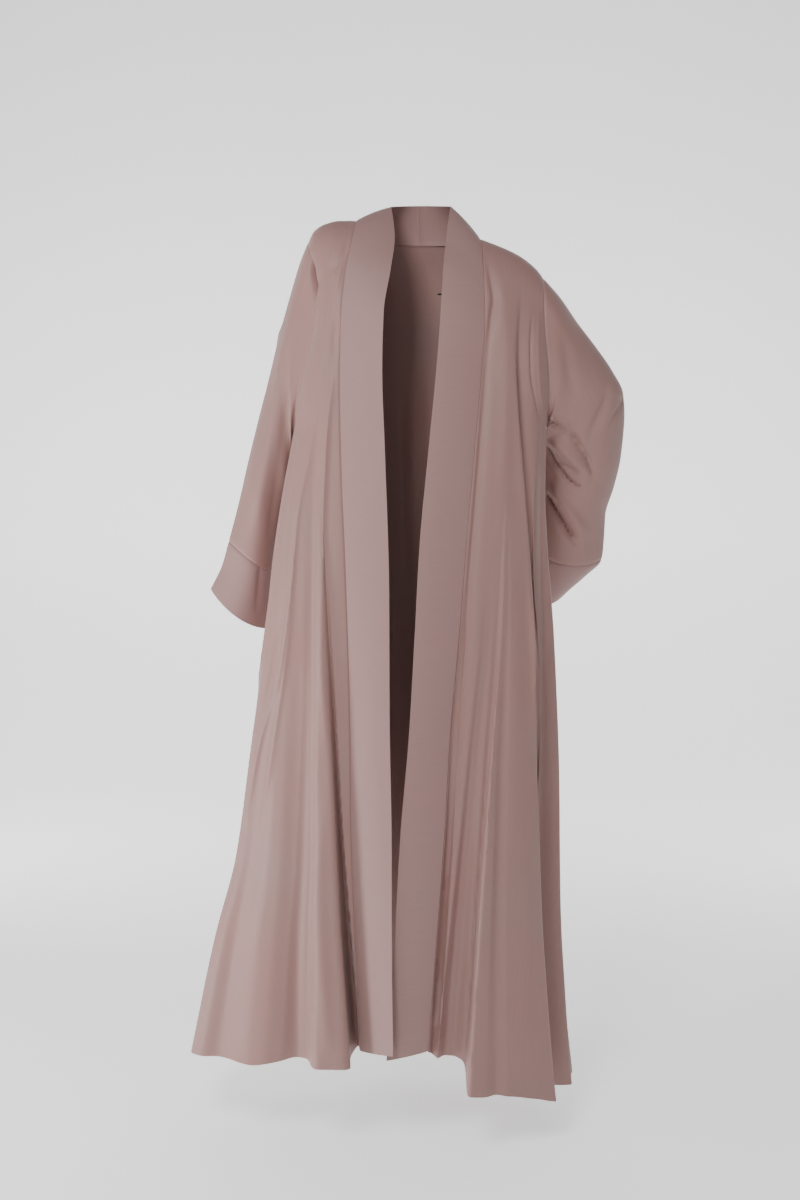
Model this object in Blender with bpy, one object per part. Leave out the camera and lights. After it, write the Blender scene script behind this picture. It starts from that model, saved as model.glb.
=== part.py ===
"""Open-front abaya cloak in its worn, hanging form, piece by cut piece.

Metres, +Z up. The front faces -Y and the viewer's right is +X.
The origin is at the base of the neck, where the cloak is held up.
Right and left in the names are the wearer's, so right is at -X.
"""

import math

import bpy
import numpy as np

# Driving sizes, in metres
PANEL_WALL = 0.0015
BAND_WALL = 0.0024
CUFF_WALL = 0.0022
SEAM_GAP = 0.0003
NECK_SEAM_DEPTH = 0.078
NECK_SEAM_HEIGHT = -0.012
NECK_EDGE_DEPTH = 0.060
NECK_EDGE_HEIGHT = 0.052
SHOULDER_ROUND = 0.20
SLEEVE_HEAD_ROUND = 0.060
SLEEVE_BLEND = 0.10
BAND_BOW = 0.003

# Shares and limits of the shape
VALLEY = 0.25
MITRE_LIMIT = 0.4
FOLD_TAPER = 0.7
BAND_EASE = 0.014
SIDE_EASE = 0.03
OVERHANG_ROUND = 0.01
SLEEVE_FLATNESS = 0.75
SLEEVE_FLAT_REACH = 0.50
SHARP_ANGLE = 50.0

# Divisions of each piece
ARM_ROWS = 9
HEM_ROWS = 12
FRONT_COLUMNS = 18
NECK_COLUMNS = 8
BAND_COLUMNS = 3
COLUMN_CROWDING = 1.5
NECK_SHARE_TOP = 0.52
NECK_SHARE_LOW = 0.42
NECK_SPREAD = 0.5
SLEEVE_RINGS = {"right": 8, "left": 11}
CUFF_RINGS = 3

# Colour, roughness and metallic value of each finish
CLOTH_FINISH = ((0.36, 0.24, 0.225, 1.0), 0.62, 0.0)
BAND_FINISH = ((0.38, 0.265, 0.25, 1.0), 0.66, 0.0)
METAL_FINISH = ((0.05, 0.045, 0.045, 1.0), 0.35, 0.9)


class Table:
    """Rows with named columns, read smoothly by the first column."""

    def __init__(self, names, rows):
        self.names = names.split()
        self.rows = np.array(sorted(rows), dtype=float)

    def ends(self, name):
        """The named column in the first and the last row."""
        column = self.rows[:, self.names.index(name)]
        return column[0], column[-1]

    def at(self, name, place):
        """The named column at this place, with no overshoot between rows."""
        knots = self.rows[:, 0]
        values = self.rows[:, self.names.index(name)]
        step = np.diff(knots)
        slope = np.diff(values) / step
        same = slope[:-1] * slope[1:] > 0.0
        total = np.where(same, slope[:-1] + slope[1:], 1.0)
        tangent = np.concatenate([slope[:1], np.zeros(len(knots) - 2), slope[-1:]])
        tangent[1:-1] = np.where(same, 2.0 * slope[:-1] * slope[1:] / total, 0.0)
        where = np.clip(place, knots[0], knots[-1])
        index = np.clip(np.searchsorted(knots, where) - 1, 0, len(step) - 1)
        share = (where - knots[index]) / step[index]
        rise = share * share * (3.0 - 2.0 * share)
        lead = share * (1.0 - share) ** 2 * tangent[index]
        trail = share * share * (share - 1.0) * tangent[index + 1]
        level = (1.0 - rise) * values[index] + rise * values[index + 1]
        return level + (lead + trail) * step[index]


# Free edge of each band and its seam to the panel, by height
BAND = {
    "right": Table("height edge_x edge_y seam_x seam_y", [
        (0.031, -0.049, 0.000, -0.107, -0.100),
        (0.005, -0.046, -0.024, -0.107, -0.100),
        (-0.040, -0.043, -0.056, -0.111, -0.100),
        (-0.100, -0.049, -0.094, -0.121, -0.100),
        (-0.176, -0.060, -0.118, -0.128, -0.101),
        (-0.272, -0.062, -0.130, -0.130, -0.104),
        (-0.390, -0.058, -0.133, -0.128, -0.107),
        (-0.618, -0.051, -0.140, -0.119, -0.114),
        (-0.825, -0.050, -0.146, -0.113, -0.116),
        (-1.000, -0.047, -0.154, -0.111, -0.118),
        (-1.200, -0.046, -0.166, -0.104, -0.120),
        (-1.345, -0.044, -0.176, -0.096, -0.124),
    ]),
    "left": Table("height edge_x edge_y seam_x seam_y", [
        (0.032, 0.052, 0.000, 0.101, -0.096),
        (0.000, 0.047, -0.028, 0.101, -0.096),
        (-0.040, 0.042, -0.056, 0.100, -0.096),
        (-0.100, 0.036, -0.094, 0.101, -0.098),
        (-0.176, 0.031, -0.118, 0.102, -0.102),
        (-0.277, 0.023, -0.130, 0.095, -0.106),
        (-0.400, 0.011, -0.132, 0.084, -0.110),
        (-0.550, -0.003, -0.134, 0.071, -0.112),
        (-0.697, -0.011, -0.137, 0.059, -0.116),
        (-0.850, -0.020, -0.141, 0.045, -0.121),
        (-1.000, -0.033, -0.145, 0.036, -0.127),
        (-1.210, -0.045, -0.150, 0.020, -0.134),
        (-1.345, -0.055, -0.154, 0.009, -0.138),
    ]),
}

# Armhole edge above the underarm and side seam below it, by height, with how far
# the front and the back panel have turned there, in degrees
SIDE = {
    "right": Table("height x front_y back_y front_turn back_turn", [
        (-0.030, -0.188, -0.055, 0.050, 40, 40),
        (-0.095, -0.178, -0.056, 0.056, 60, 50),
        (-0.150, -0.172, -0.060, 0.060, 75, 55),
        (-0.200, -0.177, -0.058, 0.058, 85, 60),
        (-0.256, -0.190, -0.050, 0.048, 90, 70),
        (-0.310, -0.203, -0.034, 0.026, 90, 82),
        (-0.355, -0.212, -0.015, -0.015, 90, 90),
        (-0.470, -0.233, -0.020, -0.020, 90, 90),
        (-0.568, -0.247, -0.020, -0.020, 90, 90),
        (-0.700, -0.260, -0.020, -0.020, 90, 90),
        (-0.897, -0.286, -0.018, -0.018, 90, 90),
        (-1.061, -0.309, -0.014, -0.014, 90, 90),
        (-1.192, -0.342, -0.010, -0.010, 90, 90),
        (-1.385, -0.382, -0.004, -0.004, 90, 90),
    ]),
    "left": Table("height x front_y back_y front_turn back_turn", [
        (-0.091, 0.207, -0.052, 0.050, 35, 40),
        (-0.150, 0.204, -0.054, 0.054, 40, 50),
        (-0.200, 0.207, -0.052, 0.056, 45, 55),
        (-0.255, 0.213, -0.044, 0.050, 55, 65),
        (-0.300, 0.215, -0.026, 0.030, 70, 80),
        (-0.335, 0.214, -0.004, -0.004, 86, 90),
        (-0.450, 0.212, 0.004, 0.004, 90, 90),
        (-0.540, 0.216, 0.010, 0.010, 90, 90),
        (-0.700, 0.228, 0.020, 0.020, 90, 90),
        (-0.905, 0.236, 0.030, 0.030, 90, 90),
        (-1.142, 0.240, 0.040, 0.040, 90, 90),
        (-1.321, 0.250, 0.046, 0.046, 90, 90),
        (-1.466, 0.262, 0.050, 0.050, 90, 90),
    ]),
}

# Shoulder ridge from the band seam to the shoulder tip, by distance from the centre
RIDGE = {
    "right": Table("reach height", [
        (0.107, 0.005), (0.135, 0.005), (0.161, -0.001), (0.178, -0.012), (0.188, -0.030),
    ]),
    "left": Table("reach height", [
        (0.101, -0.025), (0.144, -0.042), (0.169, -0.055), (0.194, -0.075), (0.207, -0.091),
    ]),
}
UNDERARM = {"right": -0.355, "left": -0.335}
SIGN = {"right": -1.0, "left": 1.0}

# Depth of the centre back, by height
CENTRE_BACK = Table("height y", [
    (-0.012, 0.078), (-0.060, 0.096), (-0.120, 0.107), (-0.200, 0.112), (-0.320, 0.110),
    (-0.440, 0.105), (-0.600, 0.112), (-0.800, 0.135), (-1.000, 0.160), (-1.250, 0.192),
    (-1.460, 0.216),
])

# Hem height across a panel, from the band seam outwards or from right to left
HEM = {
    "right": Table("place height", [
        (0.00, -1.350), (0.03, -1.362), (0.07, -1.366), (0.14, -1.367), (0.20, -1.364),
        (0.33, -1.372), (0.42, -1.377), (0.50, -1.377), (0.70, -1.380), (1.00, -1.386),
    ]),
    "left": Table("place height", [
        (0.00, -1.345), (0.03, -1.357), (0.14, -1.362), (0.186, -1.405), (0.30, -1.411),
        (0.40, -1.424), (0.49, -1.439), (0.56, -1.443), (0.75, -1.456), (1.00, -1.466),
    ]),
    "back": Table("place height", [
        (0.00, -1.386), (0.25, -1.420), (0.50, -1.448), (0.80, -1.462), (1.00, -1.466),
    ]),
}

# Folds of a panel: place across it at the shoulder and at the hem, height where the
# fold starts, depth at the hem, half width of its level crest, widths of the flanks
# before and after the crest, and how far both flanks hang over, as a share of the
# depth. Out is positive, and places run as in the hem tables.
FOLD_COLUMNS = ("name", "top", "hem", "start", "depth", "crest", "before", "after", "overhang")
FOLDS = {
    "right": [
        ("valley beside the band", 0.250, 0.014, -0.58, -0.022, 0.004, 0.014, 0.030, 0.0),
        ("rolled fold", 0.280, 0.085, -0.45, 0.038, 0.012, 0.040, 0.110, 0.45),
        ("hollow beside the roll", 0.360, 0.245, -0.62, -0.006, 0.0, 0.050, 0.050, 0.0),
        ("broad front lobe", 0.600, 0.420, -0.45, 0.014, 0.050, 0.150, 0.170, 0.0),
        ("shoulder drag fold", 0.700, 0.520, -0.16, -0.006, 0.0, 0.110, 0.110, 0.0),
        ("side lobe", 0.820, 0.760, -0.50, 0.012, 0.040, 0.120, 0.120, 0.0),
    ],
    "left": [
        ("gap beside the band", 0.020, 0.020, -0.55, -0.014, 0.0, 0.020, 0.025, 0.0),
        ("hollow before the lobes", 0.240, 0.095, -0.60, -0.010, 0.015, 0.045, 0.045, 0.0),
        ("two front lobes", 0.420, 0.335, -0.45, 0.036, 0.145, 0.042, 0.060, 0.5),
        ("crease between the lobes", 0.330, 0.275, -0.45, -0.010, 0.0, 0.026, 0.026, 0.0),
        ("hollow behind the lobes", 0.720, 0.730, -0.24, -0.042, 0.080, 0.080, 0.110, 0.0),
        ("side fold", 0.860, 0.860, -0.50, 0.010, 0.0, 0.070, 0.080, 0.0),
    ],
    "back": [
        ("right side fold", 0.10, 0.09, -0.70, 0.018, 0.0, 0.050, 0.050, 0.0),
        ("right hollow", 0.17, 0.17, -0.60, -0.022, 0.0, 0.050, 0.050, 0.0),
        ("right lobe", 0.26, 0.26, -0.45, 0.034, 0.010, 0.055, 0.050, 0.0),
        ("inner right hollow", 0.36, 0.36, -0.55, -0.024, 0.0, 0.055, 0.055, 0.0),
        ("centre right lobe", 0.44, 0.45, -0.38, 0.030, 0.008, 0.045, 0.055, 0.0),
        ("centre hollow", 0.52, 0.53, -0.60, -0.020, 0.0, 0.050, 0.050, 0.0),
        ("centre left lobe", 0.59, 0.61, -0.50, 0.032, 0.006, 0.050, 0.045, 0.0),
        ("inner left hollow", 0.67, 0.69, -0.55, -0.022, 0.0, 0.050, 0.050, 0.0),
        ("left lobe", 0.76, 0.78, -0.62, 0.030, 0.008, 0.050, 0.045, 0.0),
        ("left hollow", 0.85, 0.86, -0.70, -0.016, 0.0, 0.045, 0.045, 0.0),
        ("left side fold", 0.93, 0.93, -0.72, 0.014, 0.0, 0.045, 0.045, 0.0),
    ],
}
FOLD_GROWTH = 1.3
HEM_REACH = 1.4

# Sleeve rings by reach along the sleeve: top line, under line, depth in front and
# behind, and how far the front of the ring tips down, in degrees
RING_COLUMNS = "reach top_x top_y top_z under_x under_y under_z front behind tilt"
SLEEVE = {
    "right": Table(RING_COLUMNS, [
        (0.000, -0.188, 0.000, -0.030, -0.212, -0.015, -0.355, 0.056, 0.056, 0),
        (0.032, -0.201, 0.003, -0.059, -0.2185, 0.006, -0.368, 0.054, 0.056, 0),
        (0.103, -0.223, 0.008, -0.127, -0.217, 0.026, -0.400, 0.050, 0.056, 0),
        (0.172, -0.242, 0.012, -0.194, -0.219, 0.038, -0.430, 0.048, 0.054, 0),
        (0.242, -0.259, 0.016, -0.262, -0.221, 0.042, -0.462, 0.047, 0.052, 0),
        (0.312, -0.277, 0.020, -0.330, -0.228, 0.047, -0.493, 0.046, 0.050, 2),
        (0.381, -0.294, 0.024, -0.397, -0.237, 0.049, -0.524, 0.046, 0.050, 4),
        (0.451, -0.310, 0.028, -0.465, -0.242, 0.057, -0.555, 0.046, 0.050, 6),
        (0.521, -0.328, 0.032, -0.533, -0.247, 0.064, -0.586, 0.048, 0.050, 8),
        (0.566, -0.340, 0.036, -0.575, -0.251, 0.070, -0.635, 0.050, 0.050, 12),
        (0.612, -0.360, 0.040, -0.615, -0.256, 0.075, -0.682, 0.052, 0.050, 16),
    ]),
    "left": Table(RING_COLUMNS, [
        (0.000, 0.207, 0.000, -0.091, 0.214, -0.004, -0.335, 0.052, 0.055, 0),
        (0.036, 0.238, 0.006, -0.1235, 0.2175, 0.014, -0.345, 0.056, 0.052, 0),
        (0.089, 0.269, 0.015, -0.163, 0.213, 0.033, -0.356, 0.058, 0.048, 0),
        (0.140, 0.301, 0.028, -0.199, 0.209, 0.045, -0.361, 0.058, 0.044, 0),
        (0.192, 0.333, 0.042, -0.239, 0.204, 0.056, -0.365, 0.056, 0.042, 2),
        (0.238, 0.355, 0.060, -0.276, 0.203, 0.066, -0.369, 0.054, 0.040, 4),
        (0.285, 0.360, 0.078, -0.322, 0.203, 0.075, -0.374, 0.053, 0.040, 8),
        (0.345, 0.357, 0.096, -0.382, 0.204, 0.083, -0.385, 0.052, 0.040, 12),
        (0.398, 0.348, 0.112, -0.432, 0.202, 0.093, -0.403, 0.052, 0.040, 18),
        (0.450, 0.335, 0.127, -0.482, 0.197, 0.105, -0.432, 0.052, 0.040, 26),
        (0.496, 0.3345, 0.140, -0.525, 0.183, 0.119, -0.469, 0.052, 0.040, 34),
        (0.530, 0.332, 0.150, -0.560, 0.169, 0.133, -0.510, 0.053, 0.040, 40),
        (0.576, 0.311, 0.172, -0.584, 0.155, 0.154, -0.555, 0.055, 0.040, 46),
        (0.620, 0.283, 0.194, -0.604, 0.141, 0.176, -0.598, 0.058, 0.040, 52),
    ]),
}
CUFF_SEAM = {"right": 0.521, "left": 0.530}
SLEEVE_END = {"right": 0.612, "left": 0.620}

# Small front hook of bent wire: its height, and its route as distance inside the
# free edge of the left band and distance behind the band's face
HOOK_HEIGHT = -0.144
HOOK_WIRE = 0.0006
HOOK_ROUTE = (
    (0.0060, 0.0036), (0.0010, 0.0036), (-0.0040, 0.0034), (-0.0066, 0.0018),
    (-0.0066, -0.0002), (-0.0046, -0.0010), (-0.0024, -0.0008),
)


def smoothstep(value):
    """Zero to one with level ends."""
    share = np.clip(value, 0.0, 1.0)
    return share * share * (3.0 - 2.0 * share)


def rounded(drop, length):
    """How far a surface has turned over a rounded shoulder at this drop."""
    share = np.clip(drop / length, 0.0, 1.0)
    return np.sqrt(1.0 - (1.0 - share) ** 2)


def quadrant(start, end, turn, share):
    """Plan curve that leaves start along X and has turned by turn degrees at end."""
    angle = np.radians(turn)
    across = np.sin(angle * share) / np.sin(angle)
    depth = (np.cos(angle * share) - np.cos(angle)) / (1.0 - np.cos(angle))
    x = start[..., 0] + (end[..., 0] - start[..., 0]) * across
    y = end[..., 1] + (start[..., 1] - end[..., 1]) * depth
    return np.stack([x, y], axis=-1)


def row_heights(tops, underarms, hems):
    """Heights of a panel's rows, one column for each top, underarm and hem."""
    arm = (1.0 - np.cos(np.pi * np.arange(ARM_ROWS + 1) / ARM_ROWS)) / 2.0
    low = np.arange(1, HEM_ROWS + 1) / HEM_ROWS
    upper = tops + (underarms - tops) * arm[:, None]
    lower = underarms + (hems - underarms) * low[:, None]
    return np.concatenate([upper, lower])


def folded(plan, heights, places, hems, folds, outward):
    """Plan points of a panel moved out and in by its folds."""
    tangent = np.gradient(plan, axis=1)
    tangent /= np.linalg.norm(tangent, axis=-1, keepdims=True)
    normal = np.stack([-tangent[..., 1], tangent[..., 0]], axis=-1) * outward
    moved = plan.copy()
    window = smoothstep(places / BAND_EASE) * smoothstep((1.0 - places) / SIDE_EASE)
    for row in folds:
        fold = dict(zip(FOLD_COLUMNS, row))
        fall = np.clip((fold["start"] - heights) / (fold["start"] - hems), 0.0, 1.0)
        drift = smoothstep(-heights / HEM_REACH)
        centre = fold["top"] + (fold["hem"] - fold["top"]) * drift
        size = FOLD_TAPER + (1.0 - FOLD_TAPER) * fall
        across = places - centre
        flank = np.where(across < 0.0, fold["before"], fold["after"]) * size
        past = np.abs(across) - fold["crest"] * size
        swell = np.cos(np.pi / 2.0 * np.clip(past / flank, 0.0, 1.0)) ** 2
        bump = fold["depth"] * fall ** FOLD_GROWTH * swell * window
        spread = np.clip(across / (fold["crest"] * size + OVERHANG_ROUND), -1.0, 1.0)
        aside = fold["overhang"] * spread * np.abs(bump)
        moved += normal * bump[..., None] + tangent * aside[..., None]
    return moved


def front_places():
    """Places of a front panel's columns, closer together beside the band."""
    return (np.arange(FRONT_COLUMNS + 1) / FRONT_COLUMNS) ** COLUMN_CROWDING


def side_line(side, heights, depth_name):
    """Armhole edge and side seam in plan, rounded over at the shoulder tip."""
    edge = SIDE[side]
    head = rounded(edge.ends("height")[1] - heights, SLEEVE_HEAD_ROUND)
    armhole = heights > UNDERARM[side] + SEAM_GAP
    y = np.where(armhole, edge.at(depth_name, heights) * head, edge.at("front_y", heights))
    return np.stack([edge.at("x", heights), y], axis=-1)


def front_panel(side):
    """Front panel rows from shoulder to hem, columns from band seam to side."""
    places = front_places()
    band, edge, ridge = BAND[side], SIDE[side], RIDGE[side]
    near, far = ridge.ends("reach")
    turn = math.radians(edge.ends("front_turn")[1])
    tops = ridge.at("height", near + (far - near) * np.sin(turn * places) / math.sin(turn))
    hems = HEM[side].at("height", places)
    heights = row_heights(tops, UNDERARM[side], hems)
    first, last = heights[:, 0], heights[:, -1]
    shoulder = rounded(tops[0] - first, SHOULDER_ROUND)
    start = np.stack([band.at("seam_x", first), band.at("seam_y", first) * shoulder], axis=-1)
    end = side_line(side, last, "front_y")
    turns = edge.at("front_turn", last)
    plan = quadrant(start[:, None], end[:, None], turns[:, None], places)
    plan = folded(plan, heights, places, hems, FOLDS[side], -SIGN[side])
    return np.concatenate([plan, heights[..., None]], axis=-1)


def neck_angles():
    """Angles of the columns behind the neck, from the shoulder to centre back."""
    return (math.pi / 2.0) * (1.0 - np.arange(NECK_COLUMNS + 1) / NECK_COLUMNS)


def neck_line(corner, depth, height):
    """Quarter of an oval round the neck, from a shoulder corner to centre back."""
    angles = neck_angles()
    x = corner[0] * np.sin(angles)
    y = depth * np.cos(angles)
    z = height + (corner[2] - height) * (1.0 - np.cos(angles))
    return np.stack([x, y, z], axis=-1)


def back_spread(drop):
    """Distances of the back's columns from centre back, by drop below the shoulder."""
    neck = np.arange(NECK_COLUMNS) / NECK_COLUMNS
    beside_neck = np.sin(math.pi / 2.0 * neck)
    shoulder = front_places()
    top = [NECK_SHARE_TOP * beside_neck, NECK_SHARE_TOP + (1.0 - NECK_SHARE_TOP) * shoulder]
    low = [NECK_SHARE_LOW * neck, NECK_SHARE_LOW + (1.0 - NECK_SHARE_LOW) * shoulder]
    top, low = np.concatenate(top), np.concatenate(low)
    return top + (low - top) * smoothstep(drop / NECK_SPREAD)


def half_back(side, front):
    """One half of the back panel's unfolded rows, columns from centre back outwards."""
    neck = neck_line(front[0, 0], NECK_SEAM_DEPTH, NECK_SEAM_HEIGHT)[::-1]
    top = np.concatenate([neck, front[0, 1:]])
    places = (1.0 + SIGN[side] * back_spread(HEM_REACH)) / 2.0
    underarms = UNDERARM["right"] + (UNDERARM["left"] - UNDERARM["right"]) * places
    heights = row_heights(top[:, 2], underarms, HEM["back"].at("height", places))
    centre = np.stack([0.0 * heights[:, 0], CENTRE_BACK.at("y", heights[:, 0])], axis=-1)
    end = side_line(side, heights[:, -1], "back_y")
    turns = SIDE[side].at("back_turn", heights[:, -1])
    drop = top[:, 2] - heights
    distance = back_spread(drop)
    plan = quadrant(centre[:, None], end[:, None], turns[:, None], distance)
    plan += (top[:, :2] - plan[0]) * (1.0 - rounded(drop, SHOULDER_ROUND))[..., None]
    return plan, heights, (1.0 + SIGN[side] * distance) / 2.0


def back_panel(fronts):
    """Back panel rows from shoulder to hem, columns from right side to left side."""
    right, left = half_back("right", fronts["right"]), half_back("left", fronts["left"])
    joined = [
        np.concatenate([half[:, :0:-1], other], axis=1) for half, other in zip(right, left)
    ]
    plan, heights, places = joined
    hems = heights[-1]
    plan = folded(plan, heights, places, hems, FOLDS["back"], 1.0)
    return np.concatenate([plan, heights[..., None]], axis=-1)


def front_band(side, front):
    """Band rows from centre back over the shoulder to the hem, edge to seam."""
    band = BAND[side]
    top = np.array([band.at("edge_x", 1.0), band.at("edge_y", 1.0), band.ends("height")[1]])
    heights = row_heights(top[2:], UNDERARM[side], front[-1, 0, 2:])[:, 0]
    edge = np.stack([band.at("edge_x", heights), band.at("edge_y", heights), heights], axis=-1)
    neck_edge = neck_line(top, NECK_EDGE_DEPTH, NECK_EDGE_HEIGHT)[:0:-1]
    neck_seam = neck_line(front[0, 0], NECK_SEAM_DEPTH, NECK_SEAM_HEIGHT)[:0:-1]
    edge = np.concatenate([neck_edge, edge])
    seam = np.concatenate([neck_seam, front[:, 0]])
    share = np.arange(BAND_COLUMNS + 1)[None, :, None] / BAND_COLUMNS
    grid = edge[:, None] + (seam - edge)[:, None] * share
    down = np.gradient(grid, axis=0)
    across = (seam - edge)[:, None]
    out = np.cross(down, across) * SIGN[side]
    out /= np.linalg.norm(out, axis=-1, keepdims=True)
    return grid + out * BAND_BOW * 4.0 * share * (1.0 - share)


def armhole_loop(front, back_edge):
    """Armhole of a front panel and of the back's edge, from the tip round the front."""
    return np.concatenate([front[:ARM_ROWS + 1, -1], back_edge[ARM_ROWS - 1:0:-1]])


def sleeve_rings(side, loop, reaches):
    """Rings of a sleeve at these reaches, the first of them fitted to the armhole."""
    table = SLEEVE[side]
    angles = math.pi / ARM_ROWS * np.arange(2 * ARM_ROWS)

    def ring(reach):
        """One ring from the table, as points from the top round the front."""
        top = np.array([table.at("top_" + axis, reach) for axis in "xyz"])
        under = np.array([table.at("under_" + axis, reach) for axis in "xyz"])
        arm = (top - under) / 2.0
        along = arm / np.linalg.norm(arm)
        ahead = np.array([0.0, -1.0, 0.0])
        ahead -= along * (ahead @ along)
        ahead /= np.linalg.norm(ahead)
        tilt = math.radians(table.at("tilt", reach))
        ahead = math.cos(tilt) * ahead + math.sin(tilt) * SIGN[side] * np.cross(along, ahead)
        depth = np.where(angles < math.pi, table.at("front", reach), table.at("behind", reach))
        flat = 1.0 + SLEEVE_FLATNESS * smoothstep(reach / SLEEVE_FLAT_REACH)
        across = np.sign(np.sin(angles)) * np.abs(np.sin(angles)) ** flat
        middle = (top + under) / 2.0
        return middle + np.cos(angles)[:, None] * arm + (depth * across)[:, None] * ahead

    fit = loop - ring(0.0)
    blends = 1.0 - smoothstep(np.asarray(reaches) / SLEEVE_BLEND)
    return np.array([ring(reach) + fit * blend for reach, blend in zip(reaches, blends)])


def grid_quads(rows, columns, closed, flipped):
    """Faces of a grid of points, wound so that they point out of the cloak."""
    quads = []
    for row in range(rows - 1):
        for column in range(columns if closed else columns - 1):
            beside = (column + 1) % columns
            quad = [
                row * columns + column, row * columns + beside,
                (row + 1) * columns + beside, (row + 1) * columns + column,
            ]
            quads.append(quad[::-1] if flipped else quad)
    return quads


def build_pieces():
    """Outer surface, faces, wall and finish of each cloth piece, by name."""
    fronts = {side: front_panel(side) for side in SIGN}
    back = back_panel(fronts)
    pieces = {"back": (back, False, False, PANEL_WALL, CLOTH_FINISH)}
    back_edges = {"right": back[:, 0], "left": back[:, -1]}
    for side in SIGN:
        left = side == "left"
        pieces["front_" + side] = (fronts[side], False, left, PANEL_WALL, CLOTH_FINISH)
        band = front_band(side, fronts[side])
        pieces["band_" + side] = (band, False, left, BAND_WALL, BAND_FINISH)
        loop = armhole_loop(fronts[side], back_edges[side])
        seam, end = CUFF_SEAM[side], SLEEVE_END[side]
        sleeve = sleeve_rings(side, loop, np.linspace(0.0, seam, SLEEVE_RINGS[side] + 1))
        cuff = sleeve_rings(side, loop, np.linspace(seam, end, CUFF_RINGS + 1))
        pieces["sleeve_" + side] = (sleeve, True, not left, PANEL_WALL, CLOTH_FINISH)
        pieces["cuff_" + side] = (cuff, True, not left, CUFF_WALL, BAND_FINISH)
    return pieces


def face_normals(points, quads):
    """Normals of the faces, as long as the faces are large."""
    corners = points[np.array(quads)]
    return np.cross(corners[:, 2] - corners[:, 0], corners[:, 3] - corners[:, 1])


def point_key(point):
    """A key that the points of two pieces share along their seam."""
    return tuple(np.round(point, 5))


def corner_normals(points, quads):
    """Unit normals at the points of one piece."""
    total = np.zeros_like(points)
    np.add.at(total, np.array(quads).ravel(), np.repeat(face_normals(points, quads), 4, axis=0))
    return total / np.linalg.norm(total, axis=1, keepdims=True)


def seam_normals(surfaces):
    """Normals at the points, shared by the pieces that meet there."""
    total = {}
    for points, quads in surfaces.values():
        for point, normal in zip(points, corner_normals(points, quads)):
            key = point_key(point)
            total[key] = total.get(key, 0.0) + normal
    return {key: value / np.linalg.norm(value) for key, value in total.items()}


def edge_pull(points, quads):
    """The rim of a piece, and how it moves inwards by half the seam gap."""
    owner = {}
    for quad, normal in zip(quads, face_normals(points, quads)):
        for start, end in zip(quad, quad[1:] + quad[:1]):
            owner[(start, end)] = normal
    rim = [edge for edge in owner if edge[::-1] not in owner]
    inward = {}
    for start, end in rim:
        across = np.cross(owner[(start, end)], points[end] - points[start])
        across /= np.linalg.norm(across)
        inward.setdefault(start, []).append(across)
        inward.setdefault(end, []).append(across)
    pull = {}
    for corner, directions in inward.items():
        middle = np.mean(directions, axis=0)
        middle /= np.linalg.norm(middle)
        pull[corner] = middle / max(MITRE_LIMIT, middle @ directions[0])
    return rim, pull


def rim_faces(rim, points, count):
    """Two triangles across the rim at each edge, split alike on both sides of a seam."""
    faces = []
    for start, end in rim:
        if tuple(points[start][::-1]) > tuple(points[end][::-1]):
            faces += [[end, start, end + count], [start, start + count, end + count]]
        else:
            faces += [[end, start, start + count], [end, start + count, end + count]]
    return faces


def finish_material(name, finish):
    """A plain material for one piece."""
    colour, roughness, metallic = finish
    material = bpy.data.materials.new(name)
    material.use_nodes = True
    shader = material.node_tree.nodes["Principled BSDF"]
    shader.inputs["Base Color"].default_value = colour
    shader.inputs["Roughness"].default_value = roughness
    shader.inputs["Metallic"].default_value = metallic
    return material


def add_object(name, data, finish):
    """Link an object with its own material."""
    data.materials.append(finish_material(name + "_finish", finish))
    piece = bpy.data.objects.new(name, data)
    bpy.context.collection.objects.link(piece)
    return piece


def add_cloth(name, points, quads, wall, shared, finish):
    """A closed wall of cloth: outer points, inner points and a rim between them."""
    rim, pull = edge_pull(points, quads)
    normals = corner_normals(points, quads)
    outer = points.copy()
    for corner, direction in pull.items():
        common = shared[point_key(points[corner])]
        outer[corner] += direction * SEAM_GAP / 2.0
        if direction @ common < VALLEY:
            normals[corner] = common
    inner = outer - wall * normals
    count = len(points)
    faces = list(quads)
    faces += [[corner + count for corner in quad[::-1]] for quad in quads]
    faces += rim_faces(rim, points, count)
    mesh = bpy.data.meshes.new(name)
    mesh.from_pydata(np.concatenate([outer, inner]).tolist(), [], faces)
    mesh.update()
    mesh.shade_smooth()
    mesh.set_sharp_from_angle(angle=math.radians(SHARP_ANGLE))
    return add_object(name, mesh, finish)


def add_hook(band):
    """The bent-wire hook behind the free edge of the left band."""
    lowest_first = band[::-1]
    edge, inside = (
        np.array([np.interp(HOOK_HEIGHT, line[:, 2], line[:, axis]) for axis in (0, 1)])
        for line in (lowest_first[:, 0], lowest_first[:, 1])
    )
    along = (inside - edge) / np.linalg.norm(inside - edge)
    behind = np.array([-along[1], along[0]])
    curve = bpy.data.curves.new("front_hook", "CURVE")
    curve.dimensions = "3D"
    curve.bevel_depth = HOOK_WIRE
    curve.bevel_resolution = 1
    curve.use_fill_caps = True
    spline = curve.splines.new("POLY")
    spline.points.add(len(HOOK_ROUTE) - 1)
    for point, (distance, depth) in zip(spline.points, HOOK_ROUTE):
        x, y = edge + along * distance + behind * depth
        point.co = (x, y, HOOK_HEIGHT, 1.0)
    return add_object("front_hook", curve, METAL_FINISH)


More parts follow.
